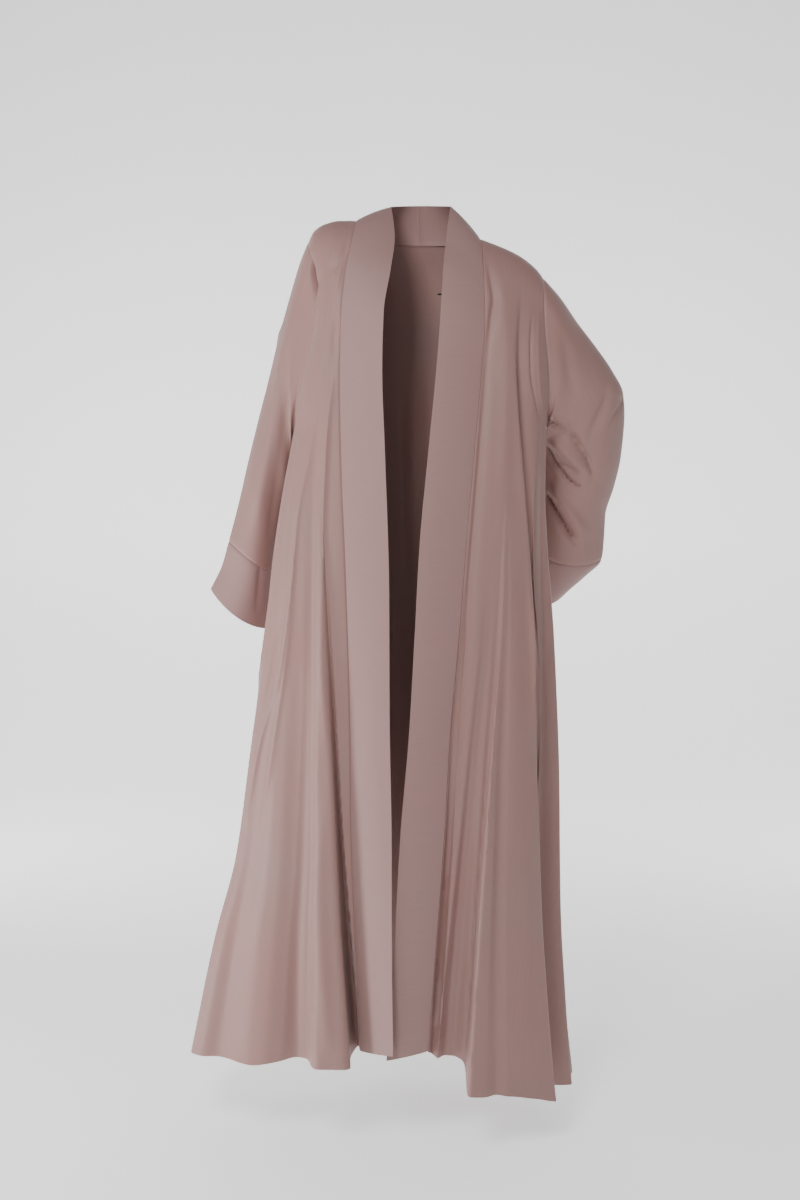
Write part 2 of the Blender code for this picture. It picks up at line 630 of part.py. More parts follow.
def main():
    """Clear the scene and build every piece."""
    for piece in list(bpy.data.objects):
        bpy.data.objects.remove(piece, do_unlink=True)
    pieces = build_pieces()
    surfaces = {}
    for name, (grid, closed, flipped, _, _) in pieces.items():
        quads = grid_quads(grid.shape[0], grid.shape[1], closed, flipped)
        surfaces[name] = (grid.reshape(-1, 3), quads)
    normals = seam_normals(surfaces)
    for name, (_, _, _, wall, finish) in pieces.items():
        points, quads = surfaces[name]
        add_cloth(name, points, quads, wall, normals, finish)
    add_hook(pieces["band_left"][0])


main()
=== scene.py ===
import functools
import math

import bpy
import numpy as np
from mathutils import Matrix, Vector
from mathutils.bvhtree import BVHTree


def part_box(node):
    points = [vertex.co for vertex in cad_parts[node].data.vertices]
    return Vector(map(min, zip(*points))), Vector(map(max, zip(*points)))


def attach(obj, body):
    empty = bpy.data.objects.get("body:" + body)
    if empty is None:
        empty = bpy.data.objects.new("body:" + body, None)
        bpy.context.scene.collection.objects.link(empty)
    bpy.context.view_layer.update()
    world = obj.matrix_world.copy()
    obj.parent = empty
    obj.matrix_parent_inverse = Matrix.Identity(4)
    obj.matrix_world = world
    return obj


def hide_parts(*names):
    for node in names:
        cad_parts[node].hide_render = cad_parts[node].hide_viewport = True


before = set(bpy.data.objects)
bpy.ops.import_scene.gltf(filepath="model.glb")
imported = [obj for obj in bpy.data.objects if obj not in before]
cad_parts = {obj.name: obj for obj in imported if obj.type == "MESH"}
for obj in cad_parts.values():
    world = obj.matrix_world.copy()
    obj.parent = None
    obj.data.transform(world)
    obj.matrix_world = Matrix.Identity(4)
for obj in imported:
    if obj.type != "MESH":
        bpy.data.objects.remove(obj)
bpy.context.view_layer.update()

bl_info = {
    "name": "Open-front abaya cloak",
    "version": (1, 0, 0),
    "blender": (4, 5, 0),
    "location": "View3D > Sidebar > Abaya",
    "description": "Cuts, drapes, sews and dyes an open-front abaya cloak round its fixed frame",
    "category": "Add Mesh",
}

BODY = "root"
SIGN = {"right": -1.0, "left": 1.0}
TINY = 1e-12

# The cut, as in the part's source, in metres. Right and left are the wearer's.
SEAM_GAP = 0.0003
NECK_SEAM_DEPTH = 0.078
NECK_SEAM_HEIGHT = -0.012
NECK_EDGE_DEPTH = 0.060
NECK_EDGE_HEIGHT = 0.052
SHOULDER_ROUND = 0.20
SLEEVE_HEAD_ROUND = 0.060
SLEEVE_BLEND = 0.10
SLEEVE_FLATNESS = 0.75
SLEEVE_FLAT_REACH = 0.50
BAND_BOW = 0.003
FOLD_TAPER = 0.7
BAND_EASE = 0.014
SIDE_EASE = 0.03
COLUMN_CROWDING = 1.15
NECK_SHARE_TOP = 0.52
NECK_SHARE_LOW = 0.42
NECK_SPREAD = 0.5
FOLD_GROWTH = 1.3
OVERHANG_ROUND = 0.01
HEM_REACH = 1.4
UNDERARM = {"right": -0.355, "left": -0.335}
CUFF_SEAM = {"right": 0.521, "left": 0.530}
SLEEVE_END = {"right": 0.612, "left": 0.620}

# Slope of each band's hem from its seam to its free edge, in this scene alone
BAND_HEM_START = -1.20
BAND_HEM_RISE = {"right": 0.011, "left": -0.009}

# Divisions of each piece, finer than the frame's
ARM_ROWS = 60
HEM_ROWS = 186
HEM_EDGE_ROWS = 8
HEM_EDGE = 0.014
FRONT_COLUMNS = 66
NECK_COLUMNS = 22
BAND_COLUMNS = 16
SLEEVE_RINGS = {"right": 100, "left": 104}
CUFF_RINGS = 20
SEAM_STEPS = np.array([0.0, 0.004, 0.009, 0.016])


class Table:
    """Rows with named columns, read smoothly by the first column."""

    def __init__(self, names, rows):
        self.names = names.split()
        self.rows = np.array(sorted(rows), dtype=float)

    def ends(self, name):
        """The named column in the first and the last row."""
        column = self.rows[:, self.names.index(name)]
        return column[0], column[-1]

    def at(self, name, place):
        """The named column at this place, with no overshoot between rows."""
        knots = self.rows[:, 0]
        values = self.rows[:, self.names.index(name)]
        step = np.diff(knots)
        slope = np.diff(values) / step
        same = slope[:-1] * slope[1:] > 0.0
        total = np.where(same, slope[:-1] + slope[1:], 1.0)
        tangent = np.concatenate([slope[:1], np.zeros(len(knots) - 2), slope[-1:]])
        tangent[1:-1] = np.where(same, 2.0 * slope[:-1] * slope[1:] / total, 0.0)
        where = np.clip(place, knots[0], knots[-1])
        index = np.clip(np.searchsorted(knots, where) - 1, 0, len(step) - 1)
        share = (where - knots[index]) / step[index]
        rise = share * share * (3.0 - 2.0 * share)
        lead = share * (1.0 - share) ** 2 * tangent[index]
        trail = share * share * (share - 1.0) * tangent[index + 1]
        level = (1.0 - rise) * values[index] + rise * values[index + 1]
        return level + (lead + trail) * step[index]


def tables(names, sides):
    """One table for each side, all with these columns."""
    return {side: Table(names, rows) for side, rows in sides.items()}


# Free edge of each band and its seam to the panel, by height
BAND = tables("height edge_x edge_y seam_x seam_y", {
    "right": [
        (0.031, -0.049, 0.000, -0.107, -0.100),
        (0.005, -0.046, -0.024, -0.107, -0.100),
        (-0.040, -0.043, -0.056, -0.111, -0.100),
        (-0.100, -0.049, -0.094, -0.121, -0.100),
        (-0.176, -0.060, -0.118, -0.128, -0.101),
        (-0.272, -0.062, -0.130, -0.130, -0.104),
        (-0.390, -0.058, -0.133, -0.128, -0.107),
        (-0.618, -0.051, -0.140, -0.119, -0.114),
        (-0.825, -0.050, -0.146, -0.113, -0.116),
        (-1.000, -0.047, -0.154, -0.111, -0.118),
        (-1.200, -0.046, -0.166, -0.104, -0.120),
        (-1.345, -0.044, -0.176, -0.096, -0.124),
    ],
    "left": [
        (0.032, 0.052, 0.000, 0.101, -0.096),
        (0.000, 0.047, -0.028, 0.101, -0.096),
        (-0.040, 0.042, -0.056, 0.100, -0.096),
        (-0.100, 0.036, -0.094, 0.101, -0.098),
        (-0.176, 0.031, -0.118, 0.102, -0.102),
        (-0.277, 0.023, -0.130, 0.095, -0.106),
        (-0.400, 0.011, -0.132, 0.084, -0.110),
        (-0.550, -0.003, -0.134, 0.071, -0.112),
        (-0.697, -0.011, -0.137, 0.059, -0.116),
        (-0.850, -0.020, -0.141, 0.045, -0.121),
        (-1.000, -0.033, -0.145, 0.036, -0.127),
        (-1.210, -0.045, -0.150, 0.020, -0.134),
        (-1.345, -0.055, -0.154, 0.009, -0.138),
    ],
})

# Armhole edge above the underarm and side seam below it, by height, with how far
# the front and the back panel have turned there, in degrees
SIDE = tables("height x front_y back_y front_turn back_turn", {
    "right": [
        (-0.030, -0.188, -0.055, 0.050, 40, 40),
        (-0.095, -0.178, -0.056, 0.056, 60, 50),
        (-0.150, -0.172, -0.060, 0.060, 75, 55),
        (-0.200, -0.177, -0.058, 0.058, 85, 60),
        (-0.256, -0.190, -0.050, 0.048, 90, 70),
        (-0.310, -0.203, -0.034, 0.026, 90, 82),
        (-0.355, -0.212, -0.015, -0.015, 90, 90),
        (-0.470, -0.233, -0.020, -0.020, 90, 90),
        (-0.568, -0.247, -0.020, -0.020, 90, 90),
        (-0.700, -0.260, -0.020, -0.020, 90, 90),
        (-0.897, -0.286, -0.018, -0.018, 90, 90),
        (-1.061, -0.309, -0.014, -0.014, 90, 90),
        (-1.192, -0.342, -0.010, -0.010, 90, 90),
        (-1.385, -0.382, -0.004, -0.004, 90, 90),
    ],
    "left": [
        (-0.091, 0.207, -0.052, 0.050, 35, 40),
        (-0.150, 0.204, -0.054, 0.054, 40, 50),
        (-0.200, 0.207, -0.052, 0.056, 45, 55),
        (-0.255, 0.213, -0.044, 0.050, 55, 65),
        (-0.300, 0.215, -0.026, 0.030, 70, 80),
        (-0.335, 0.214, -0.004, -0.004, 86, 90),
        (-0.450, 0.212, 0.004, 0.004, 90, 90),
        (-0.540, 0.216, 0.010, 0.010, 90, 90),
        (-0.700, 0.228, 0.020, 0.020, 90, 90),
        (-0.905, 0.236, 0.030, 0.030, 90, 90),
        (-1.142, 0.240, 0.040, 0.040, 90, 90),
        (-1.321, 0.250, 0.046, 0.046, 90, 90),
        (-1.466, 0.262, 0.050, 0.050, 90, 90),
    ],
})

# Shoulder ridge from the band seam to the shoulder tip, by distance from the centre
RIDGE = tables("reach height", {
    "right": [
        (0.107, 0.005), (0.135, 0.005), (0.161, -0.001), (0.178, -0.012), (0.188, -0.030),
    ],
    "left": [
        (0.101, -0.025), (0.144, -0.042), (0.169, -0.055), (0.194, -0.075), (0.207, -0.091),
    ],
})

# Depth of the centre back, by height
CENTRE_BACK = Table("height y", [
    (-0.012, 0.078), (-0.060, 0.096), (-0.120, 0.107), (-0.200, 0.112), (-0.320, 0.110),
    (-0.440, 0.105), (-0.600, 0.112), (-0.800, 0.135), (-1.000, 0.160), (-1.250, 0.192),
    (-1.460, 0.216),
])

# Hem height across a panel, from the band seam outwards or from right to left
HEM = tables("place height", {
    "right": [
        (0.00, -1.350), (0.03, -1.362), (0.07, -1.366), (0.14, -1.367), (0.20, -1.364),
        (0.33, -1.372), (0.42, -1.377), (0.50, -1.377), (0.70, -1.380), (1.00, -1.386),
    ],
    "left": [
        (0.00, -1.345), (0.03, -1.357), (0.14, -1.362), (0.186, -1.405), (0.30, -1.411),
        (0.40, -1.424), (0.49, -1.439), (0.56, -1.443), (0.75, -1.456), (1.00, -1.466),
    ],
    "back": [
        (0.00, -1.386), (0.25, -1.420), (0.50, -1.448), (0.80, -1.462), (1.00, -1.466),
    ],
})

# Folds of a panel: place across it at the shoulder and at the hem, height where the
# fold starts, depth at the hem, half width of its level crest, widths of the flanks
# before and after the crest, and how far both flanks hang over, as a share of the
# depth. Out is positive, and places run as in the hem tables. The valley beside the
# right band and the hollows before and behind the lobes are deeper than in the part's
# source, and the crease between the lobes is softer.
FOLD_COLUMNS = ("name", "top", "hem", "start", "depth", "crest", "before", "after", "overhang")
FOLDS = {
    "right": [
        ("valley beside the band", 0.250, 0.014, -0.58, -0.038, 0.004, 0.014, 0.030, 0.0),
        ("rolled fold", 0.280, 0.085, -0.45, 0.038, 0.012, 0.040, 0.110, 0.45),
        ("hollow beside the roll", 0.360, 0.245, -0.62, -0.006, 0.0, 0.050, 0.050, 0.0),
        ("broad front lobe", 0.600, 0.420, -0.45, 0.014, 0.050, 0.150, 0.170, 0.0),
        ("shoulder drag fold", 0.700, 0.520, -0.16, -0.006, 0.0, 0.110, 0.110, 0.0),
        ("side lobe", 0.820, 0.760, -0.50, 0.012, 0.040, 0.120, 0.120, 0.0),
    ],
    "left": [
        ("gap beside the band", 0.020, 0.020, -0.55, -0.014, 0.0, 0.020, 0.025, 0.0),
        ("hollow before the lobes", 0.240, 0.095, -0.60, -0.018, 0.015, 0.045, 0.045, 0.0),
        ("two front lobes", 0.420, 0.335, -0.45, 0.036, 0.145, 0.042, 0.060, 0.5),
        ("crease between the lobes", 0.330, 0.275, -0.45, -0.008, 0.0, 0.040, 0.030, 0.0),
        ("hollow behind the lobes", 0.720, 0.730, -0.24, -0.052, 0.080, 0.066, 0.110, 0.0),
        ("side fold", 0.860, 0.860, -0.50, 0.010, 0.0, 0.070, 0.080, 0.0),
    ],
    "back": [
        ("right side fold", 0.10, 0.09, -0.70, 0.018, 0.0, 0.050, 0.050, 0.0),
        ("right hollow", 0.17, 0.17, -0.60, -0.022, 0.0, 0.050, 0.050, 0.0),
        ("right lobe", 0.26, 0.26, -0.45, 0.034, 0.010, 0.055, 0.050, 0.0),
        ("inner right hollow", 0.36, 0.36, -0.55, -0.024, 0.0, 0.055, 0.055, 0.0),
        ("centre right lobe", 0.44, 0.45, -0.38, 0.030, 0.008, 0.045, 0.055, 0.0),
        ("centre hollow", 0.52, 0.53, -0.60, -0.020, 0.0, 0.050, 0.050, 0.0),
        ("centre left lobe", 0.59, 0.61, -0.50, 0.032, 0.006, 0.050, 0.045, 0.0),
        ("inner left hollow", 0.67, 0.69, -0.55, -0.022, 0.0, 0.050, 0.050, 0.0),
        ("left lobe", 0.76, 0.78, -0.62, 0.030, 0.008, 0.050, 0.045, 0.0),
        ("left hollow", 0.85, 0.86, -0.70, -0.016, 0.0, 0.045, 0.045, 0.0),
        ("left side fold", 0.93, 0.93, -0.72, 0.014, 0.0, 0.045, 0.045, 0.0),
    ],
}

# Sleeve rings by reach along the sleeve: top line, under line, depth in front and
# behind, and how far the front of the ring tips down, in degrees
SLEEVE = tables("reach top_x top_y top_z under_x under_y under_z front behind tilt", {
    "right": [
        (0.000, -0.188, 0.000, -0.030, -0.212, -0.015, -0.355, 0.056, 0.056, 0),
        (0.032, -0.201, 0.003, -0.059, -0.2185, 0.006, -0.368, 0.054, 0.056, 0),
        (0.103, -0.223, 0.008, -0.127, -0.217, 0.026, -0.400, 0.050, 0.056, 0),
        (0.172, -0.242, 0.012, -0.194, -0.219, 0.038, -0.430, 0.048, 0.054, 0),
        (0.242, -0.259, 0.016, -0.262, -0.221, 0.042, -0.462, 0.047, 0.052, 0),
        (0.312, -0.277, 0.020, -0.330, -0.228, 0.047, -0.493, 0.046, 0.050, 2),
        (0.381, -0.294, 0.024, -0.397, -0.237, 0.049, -0.524, 0.046, 0.050, 4),
        (0.451, -0.310, 0.028, -0.465, -0.242, 0.057, -0.555, 0.046, 0.050, 6),
        (0.521, -0.328, 0.032, -0.533, -0.247, 0.064, -0.586, 0.048, 0.050, 8),
        (0.566, -0.340, 0.036, -0.575, -0.251, 0.070, -0.635, 0.050, 0.050, 12),
        (0.612, -0.360, 0.040, -0.615, -0.256, 0.075, -0.682, 0.052, 0.050, 16),
    ],
    "left": [
        (0.000, 0.207, 0.000, -0.091, 0.214, -0.004, -0.335, 0.052, 0.055, 0),
        (0.036, 0.238, 0.006, -0.1235, 0.2175, 0.014, -0.345, 0.056, 0.052, 0),
        (0.089, 0.269, 0.015, -0.163, 0.213, 0.033, -0.356, 0.058, 0.048, 0),
        (0.140, 0.301, 0.028, -0.199, 0.209, 0.045, -0.361, 0.058, 0.044, 0),
        (0.192, 0.333, 0.042, -0.239, 0.204, 0.056, -0.365, 0.056, 0.042, 2),
        (0.238, 0.355, 0.060, -0.276, 0.203, 0.066, -0.369, 0.054, 0.040, 4),
        (0.285, 0.360, 0.078, -0.322, 0.203, 0.075, -0.374, 0.053, 0.040, 8),
        (0.345, 0.357, 0.096, -0.382, 0.204, 0.083, -0.385, 0.052, 0.040, 12),
        (0.398, 0.348, 0.112, -0.432, 0.202, 0.093, -0.403, 0.052, 0.040, 18),
        (0.450, 0.335, 0.127, -0.482, 0.197, 0.105, -0.432, 0.052, 0.040, 26),
        (0.496, 0.3345, 0.140, -0.525, 0.183, 0.119, -0.469, 0.052, 0.040, 34),
        (0.530, 0.332, 0.150, -0.560, 0.169, 0.133, -0.510, 0.053, 0.040, 40),
        (0.576, 0.311, 0.172, -0.584, 0.155, 0.154, -0.555, 0.055, 0.040, 46),
        (0.620, 0.283, 0.194, -0.604, 0.141, 0.176, -0.598, 0.058, 0.040, 52),
    ],
})

# The picture's frame, in pixels, and the eye that it is seen from, in metres
PICTURE_WIDTH = 800
PICTURE_HEIGHT = 1200
EYE = np.array([-0.034, -2.03, -0.634])
LENS = 36.0
LONG_SENSOR = 36.0

# Main creases, by where they are seen from and the pieces they run over. Depth
# is out of the cloth in metres, near and far are the half widths on the viewer's left
# and right of a path that runs down, crisp is how sharp the crest is, and the fades are
# the shares of the path where it comes and goes. A path seen from the front is in the
# picture's pixels, across and down. A path seen from behind or from the left side is
# in metres: across to that viewer's right, and height.
CREASE_COLUMNS = ("name", "depth", "near", "far", "crisp", "fades", "path")
CREASES = {
    ("front", "front_right"): [
        ("valley beside the right band", -0.0035, 0.006, 0.006, 0.2, (0.1, 0.4),
         [(353, 238), (347, 268), (343, 300), (341, 330), (341, 380)]),
        ("roll above the right band", 0.0022, 0.006, 0.005, 0.4, (0.3, 0.3),
         [(348, 240), (341, 268), (336, 300), (335, 340)]),
        ("shoulder hollow", -0.0035, 0.009, 0.007, 0.1, (0.5, 0.4),
         [(337, 262), (335, 295), (335, 330), (333, 362), (327, 400)]),
        ("upright ridge", 0.0045, 0.010, 0.005, 0.7, (0.25, 0.2),
         [(338, 340), (332, 390), (328, 430), (325, 486), (323, 541), (322, 600), (322, 661),
          (325, 720), (328, 780)]),
        ("trough of the upright ridge", -0.0035, 0.010, 0.008, 0.1, (0.4, 0.3),
         [(322, 380), (316, 440), (312, 500), (311, 560), (310, 630), (311, 700)]),
        ("upper drag ridge", 0.0050, 0.009, 0.005, 0.8, (0.3, 0.35),
         [(320, 385), (315, 430), (301, 504), (297, 540), (293, 584), (289, 624), (281, 680),
          (268, 721), (260, 749), (252, 790), (243, 830), (234, 862)]),
        ("lower drag ridge", 0.0040, 0.008, 0.005, 0.8, (0.35, 0.4),
         [(296, 585), (291, 624), (286, 670), (278, 721), (270, 776), (262, 823), (254, 865)]),
        ("trough between the drag ridges", -0.0030, 0.008, 0.008, 0.1, (0.4, 0.4),
         [(304, 440), (293, 504), (287, 560), (280, 624), (271, 680), (258, 735), (246, 790)]),
        ("outer drag ridge", 0.0036, 0.007, 0.005, 0.8, (0.4, 0.4),
         [(292, 440), (284, 504), (276, 560), (270, 604), (264, 650), (257, 700), (248, 760),
          (240, 815), (233, 860)]),
        ("soft panel trough", -0.0020, 0.018, 0.016, 0.0, (0.4, 0.5),
         [(300, 640), (294, 720), (290, 800), (290, 880), (292, 960)]),
        ("faint lower ridge", 0.0012, 0.020, 0.020, 0.0, (0.4, 0.3),
         [(302, 780), (301, 860), (303, 940), (308, 1010), (312, 1060)]),
        ("crest of the rolled fold", 0.0040, 0.007, 0.012, 0.3, (0.4, 0.1),
         [(327, 770), (320, 845), (318, 899), (320, 954), (324, 1009), (329, 1064)]),
        ("armhole roll", 0.0025, 0.006, 0.006, 0.3, (0.4, 0.4),
         [(309, 248), (313, 272), (317, 296), (319, 320)]),
    ],
    ("front", "front_right sleeve_right"): [
        ("armhole slit", -0.0120, 0.004, 0.006, 0.4, (0.5, 0.15),
         [(303, 248), (306, 270), (310, 292), (314, 305)]),
    ],
    ("front", "front_left"): [
        ("trough beside the left band", -0.0065, 0.005, 0.010, 0.3, (0.1, 0.05),
         [(480, 250), (484, 300), (484, 350), (481, 420), (476, 490), (470, 560), (464, 640),
          (458, 720), (452, 800), (446, 880), (440, 960), (436, 1040)]),
        ("soft chest ridge", 0.0030, 0.012, 0.014, 0.1, (0.4, 0.4),
         [(500, 262), (505, 320), (506, 390), (504, 470), (503, 540)]),
        ("long dark fold", -0.0130, 0.006, 0.018, 0.3, (0.25, 0.30),
         [(522, 282), (521, 325), (520, 361), (523, 414), (528, 479), (532, 541), (538, 620),
          (541, 700)]),
        ("edge of the long dark fold", 0.0035, 0.012, 0.004, 0.5, (0.3, 0.2),
         [(519, 300), (516, 360), (517, 414), (522, 479), (527, 541), (531, 622), (534, 700),
          (536, 790)]),
        ("armhole ridge", 0.0022, 0.004, 0.009, 0.5, (0.3, 0.3),
         [(540, 300), (538, 330), (538, 365), (541, 404), (545, 430)]),
        ("thin armhole trough", -0.0045, 0.003, 0.004, 0.5, (0.3, 0.3),
         [(533, 312), (532, 343), (533, 379), (537, 405), (541, 432)]),
        ("crease between the lobes", -0.0020, 0.016, 0.010, 0.0, (0.25, 0.05),
         [(503, 578), (504, 622), (504, 700), (501, 792), (499, 848), (496, 905), (494, 961),
          (491, 1017), (488, 1093)]),
        ("ridge in the dark side", 0.0050, 0.006, 0.006, 0.5, (0.4, 0.4),
         [(526, 560), (531, 622), (535, 700), (537, 740), (538, 775)]),
    ],
    ("left side", "front_left"): [
        ("dark side of the outer lobe", -0.0150, 0.010, 0.020, 0.2, (0.4, 0.1),
         [(-0.082, -0.66), (-0.075, -0.82), (-0.066, -1.00), (-0.058, -1.20), (-0.052, -1.38)]),
    ],
    ("front", "sleeve_left"): [
        ("elbow squiggle", -0.0080, 0.003, 0.004, 0.5, (0.15, 0.3),
         [(546, 424), (551, 423), (556, 426), (562, 430), (571, 431)]),
        ("upper lip of the elbow fold", 0.0050, 0.006, 0.006, 0.3, (0.2, 0.4),
         [(547, 419), (556, 419), (564, 423), (573, 428)]),
        ("tongue of the elbow fold", 0.0120, 0.010, 0.012, 0.1, (0.25, 0.35),
         [(549, 436), (558, 445), (568, 455), (578, 466), (587, 480)]),
        ("groove outside the tongue", -0.0095, 0.004, 0.007, 0.5, (0.25, 0.25),
         [(566, 430), (576, 443), (585, 455), (591, 468), (595, 480)]),
        ("long trough under the tongue", -0.0110, 0.005, 0.004, 0.5, (0.1, 0.25),
         [(545, 445), (554, 462), (566, 478), (576, 486), (588, 489)]),
        ("faint trough under it", -0.0030, 0.003, 0.003, 0.4, (0.3, 0.3),
         [(558, 479), (566, 487), (577, 494), (586, 495)]),
        ("roll above the lower groove", 0.0075, 0.010, 0.008, 0.1, (0.2, 0.4),
         [(548, 482), (560, 499), (572, 515), (582, 530), (589, 545)]),
        ("lower groove", -0.0140, 0.006, 0.004, 0.5, (0.1, 0.3),
         [(543, 492), (552, 506), (562, 522), (572, 536), (582, 547)]),
        ("small tongue crease", -0.0040, 0.003, 0.003, 0.4, (0.3, 0.4),
         [(557, 461), (565, 465), (573, 469), (581, 470)]),
        ("broad elbow shade", -0.0060, 0.010, 0.012, 0.1, (0.3, 0.4),
         [(612, 384), (604, 405), (593, 432), (586, 452)]),
        ("elbow point crease", -0.0035, 0.005, 0.006, 0.3, (0.3, 0.4),
         [(624, 400), (616, 414), (608, 432), (604, 450)]),
        ("forearm edge crease", -0.0025, 0.004, 0.006, 0.3, (0.3, 0.4),
         [(614, 486), (610, 502), (606, 520)]),
        ("upper arm shade", -0.0030, 0.014, 0.012, 0.0, (0.4, 0.4),
         [(556, 320), (566, 350), (572, 385), (574, 415)]),
    ],
    ("front", "sleeve_right"): [
        ("forearm column", 0.0030, 0.012, 0.009, 0.1, (0.3, 0.2),
         [(296, 300), (284, 345), (276, 400), (268, 450), (258, 510), (250, 545)]),
        ("forearm column trough", -0.0030, 0.010, 0.010, 0.1, (0.3, 0.2),
         [(300, 330), (292, 380), (284, 430), (277, 480), (270, 530), (265, 556)]),
    ],
    ("front", "cuff_right sleeve_right"): [
        ("cuff trough", -0.0040, 0.006, 0.010, 0.2, (0.3, 0.1),
         [(268, 520), (263, 545), (261, 565), (259, 590), (256, 618)]),
    ],
    ("front", "band_right"): [
        ("band dent", -0.0022, 0.006, 0.010, 0.1, (0.4, 0.4),
         [(374, 690), (378, 730), (384, 790), (390, 850), (391, 900)]),
    ],
    ("front", "band_left"): [
        ("band flute", -0.0012, 0.010, 0.010, 0.0, (0.4, 0.4),
         [(452, 430), (446, 520), (438, 620), (430, 720)]),
    ],
    ("behind", "back"): [
        ("left shoulder blade fold", -0.0085, 0.012, 0.010, 0.2, (0.3, 0.4),
         [(-0.165, -0.13), (-0.150, -0.22), (-0.138, -0.33), (-0.130, -0.46), (-0.126, -0.60)]),
        ("left shoulder blade ridge", 0.0075, 0.008, 0.012, 0.4, (0.3, 0.4),
         [(-0.148, -0.12), (-0.132, -0.22), (-0.119, -0.34), (-0.110, -0.48), (-0.106, -0.64)]),
        ("right shoulder blade fold", -0.0090, 0.010, 0.013, 0.2, (0.3, 0.4),
         [(0.142, -0.08), (0.132, -0.18), (0.124, -0.30), (0.120, -0.45), (0.124, -0.62)]),
        ("right shoulder blade ridge", 0.0070, 0.013, 0.008, 0.4, (0.3, 0.4),
         [(0.124, -0.07), (0.112, -0.18), (0.103, -0.31), (0.098, -0.47), (0.100, -0.66)]),
        ("centre back drape", 0.0060, 0.016, 0.014, 0.1, (0.4, 0.4),
         [(-0.012, -0.16), (-0.018, -0.30), (-0.024, -0.45), (-0.028, -0.62)]),
        ("centre back hollow", -0.0065, 0.014, 0.018, 0.1, (0.4, 0.4),
         [(0.026, -0.20), (0.030, -0.33), (0.030, -0.48), (0.026, -0.66)]),
        ("back hip drag", 0.0065, 0.008, 0.012, 0.5, (0.3, 0.4),
         [(0.186, -0.40), (0.166, -0.52), (0.150, -0.66), (0.141, -0.82)]),
        ("back hip trough", -0.0070, 0.010, 0.010, 0.2, (0.3, 0.4),
         [(0.172, -0.38), (0.149, -0.52), (0.130, -0.68), (0.122, -0.84)]),
    ],
    ("behind", "sleeve_left"): [
        ("outer elbow fold", -0.0070, 0.005, 0.008, 0.4, (0.25, 0.3),
         [(-0.345, -0.30), (-0.320, -0.325), (-0.290, -0.345), (-0.255, -0.360)]),
        ("outer elbow roll", 0.0070, 0.009, 0.008, 0.1, (0.25, 0.3),
         [(-0.350, -0.335), (-0.322, -0.355), (-0.290, -0.372), (-0.255, -0.385)]),
        ("second elbow fold", -0.0060, 0.005, 0.007, 0.4, (0.25, 0.3),
         [(-0.345, -0.365), (-0.318, -0.385), (-0.285, -0.402), (-0.250, -0.412)]),
        ("third elbow fold", -0.0045, 0.006, 0.008, 0.3, (0.3, 0.3),
         [(-0.335, -0.425), (-0.305, -0.440), (-0.272, -0.450), (-0.235, -0.455)]),
        ("upper arm back shade", -0.0040, 0.014, 0.012, 0.1, (0.4, 0.4),
         [(-0.250, -0.150), (-0.262, -0.200), (-0.270, -0.260), (-0.268, -0.310)]),
    ],
    ("behind", "sleeve_right"): [
        ("right sleeve back fold", -0.0070, 0.008, 0.010, 0.2, (0.3, 0.3),
         [(0.215, -0.16), (0.232, -0.24), (0.249, -0.34), (0.265, -0.44), (0.277, -0.53)]),
        ("right sleeve back ridge", 0.0055, 0.010, 0.008, 0.3, (0.3, 0.3),
         [(0.232, -0.15), (0.250, -0.25), (0.268, -0.36), (0.284, -0.46), (0.297, -0.53)]),
        ("right elbow drag", -0.0060, 0.005, 0.006, 0.3, (0.3, 0.4),
         [(0.232, -0.395), (0.252, -0.405), (0.272, -0.400), (0.290, -0.385)]),
    ],
}

# Gentle waves of hanging cloth: wave length in metres, heading in degrees from the
# level line, height at the hem in metres, and phase in degrees
WAVES = (
    (0.118, 4.0, 0.0005, 20.0), (0.071, -7.0, 0.0002, 140.0), (0.163, -3.0, 0.0008, 310.0),
)
WAVE_START = -0.05
WAVE_GROWTH = 0.9
WAVE_AROUND = 0.35
SEAM_DIP = 0.0009
SEAM_DIP_WIDTH = 0.0026

# How a crease is laid: steps along its path, half widths that it reaches, how fast a
# crisp crest falls, how near a seam it fades, and how far off its viewer stands
CREASE_STEPS = 24
CREASE_REACH = 4.0
CREST_FALL = 1.4
SEAM_FADE = 0.012
VIEWER_DISTANCE = 2.0

# The doubled bands lie in front of the panels on their seam allowances, from where they
# leave the shoulder, and crease far less
BAND_LIFT = 0.0016
BAND_LIFT_START = 0.05
BAND_SOFTNESS = 0.15

# Sewing: thread, gap under the turned hem, and how far in from its edge it is sewn. A
# stitch's shape is its width, as a share of the thread's, by share of its length.
THREAD_RADIUS = 0.00022
HEM_LIE = 0.0001
HEM_STITCH_IN = 0.002
STITCH_SHAPE = ((0.0, 0.35), (0.2, 0.9), (0.8, 0.9), (1.0, 0.35))
STITCH_SIDES = 6
RIM_BULGE = 0.25
SHARP_ANGLE = 60.0
CUT_LAYER = "cut"

# Which rims of a kind of piece are sewn: top, bottom, first column, last column
SEWN_RIMS = {
    "back": (True, False, True, True), "front": (True, False, True, True),
    "band": (True, False, False, True), "sleeve": (True, True), "cuff": (True, False),
}

# Bent wire of the hook: its height and radius in metres, and its route seen from above,
# as shares of the frame's box across and behind
HOOK_HEIGHT = -0.144
HOOK_WIRE_RADIUS = 0.0009
HOOK_STEPS = 40
HOOK_ROUTE = [
    (1.0, 0.9), (0.66, 0.9), (0.35, 0.85), (0.14, 0.62), (0.10, 0.35), (0.25, 0.14), (0.46, 0.2),
]

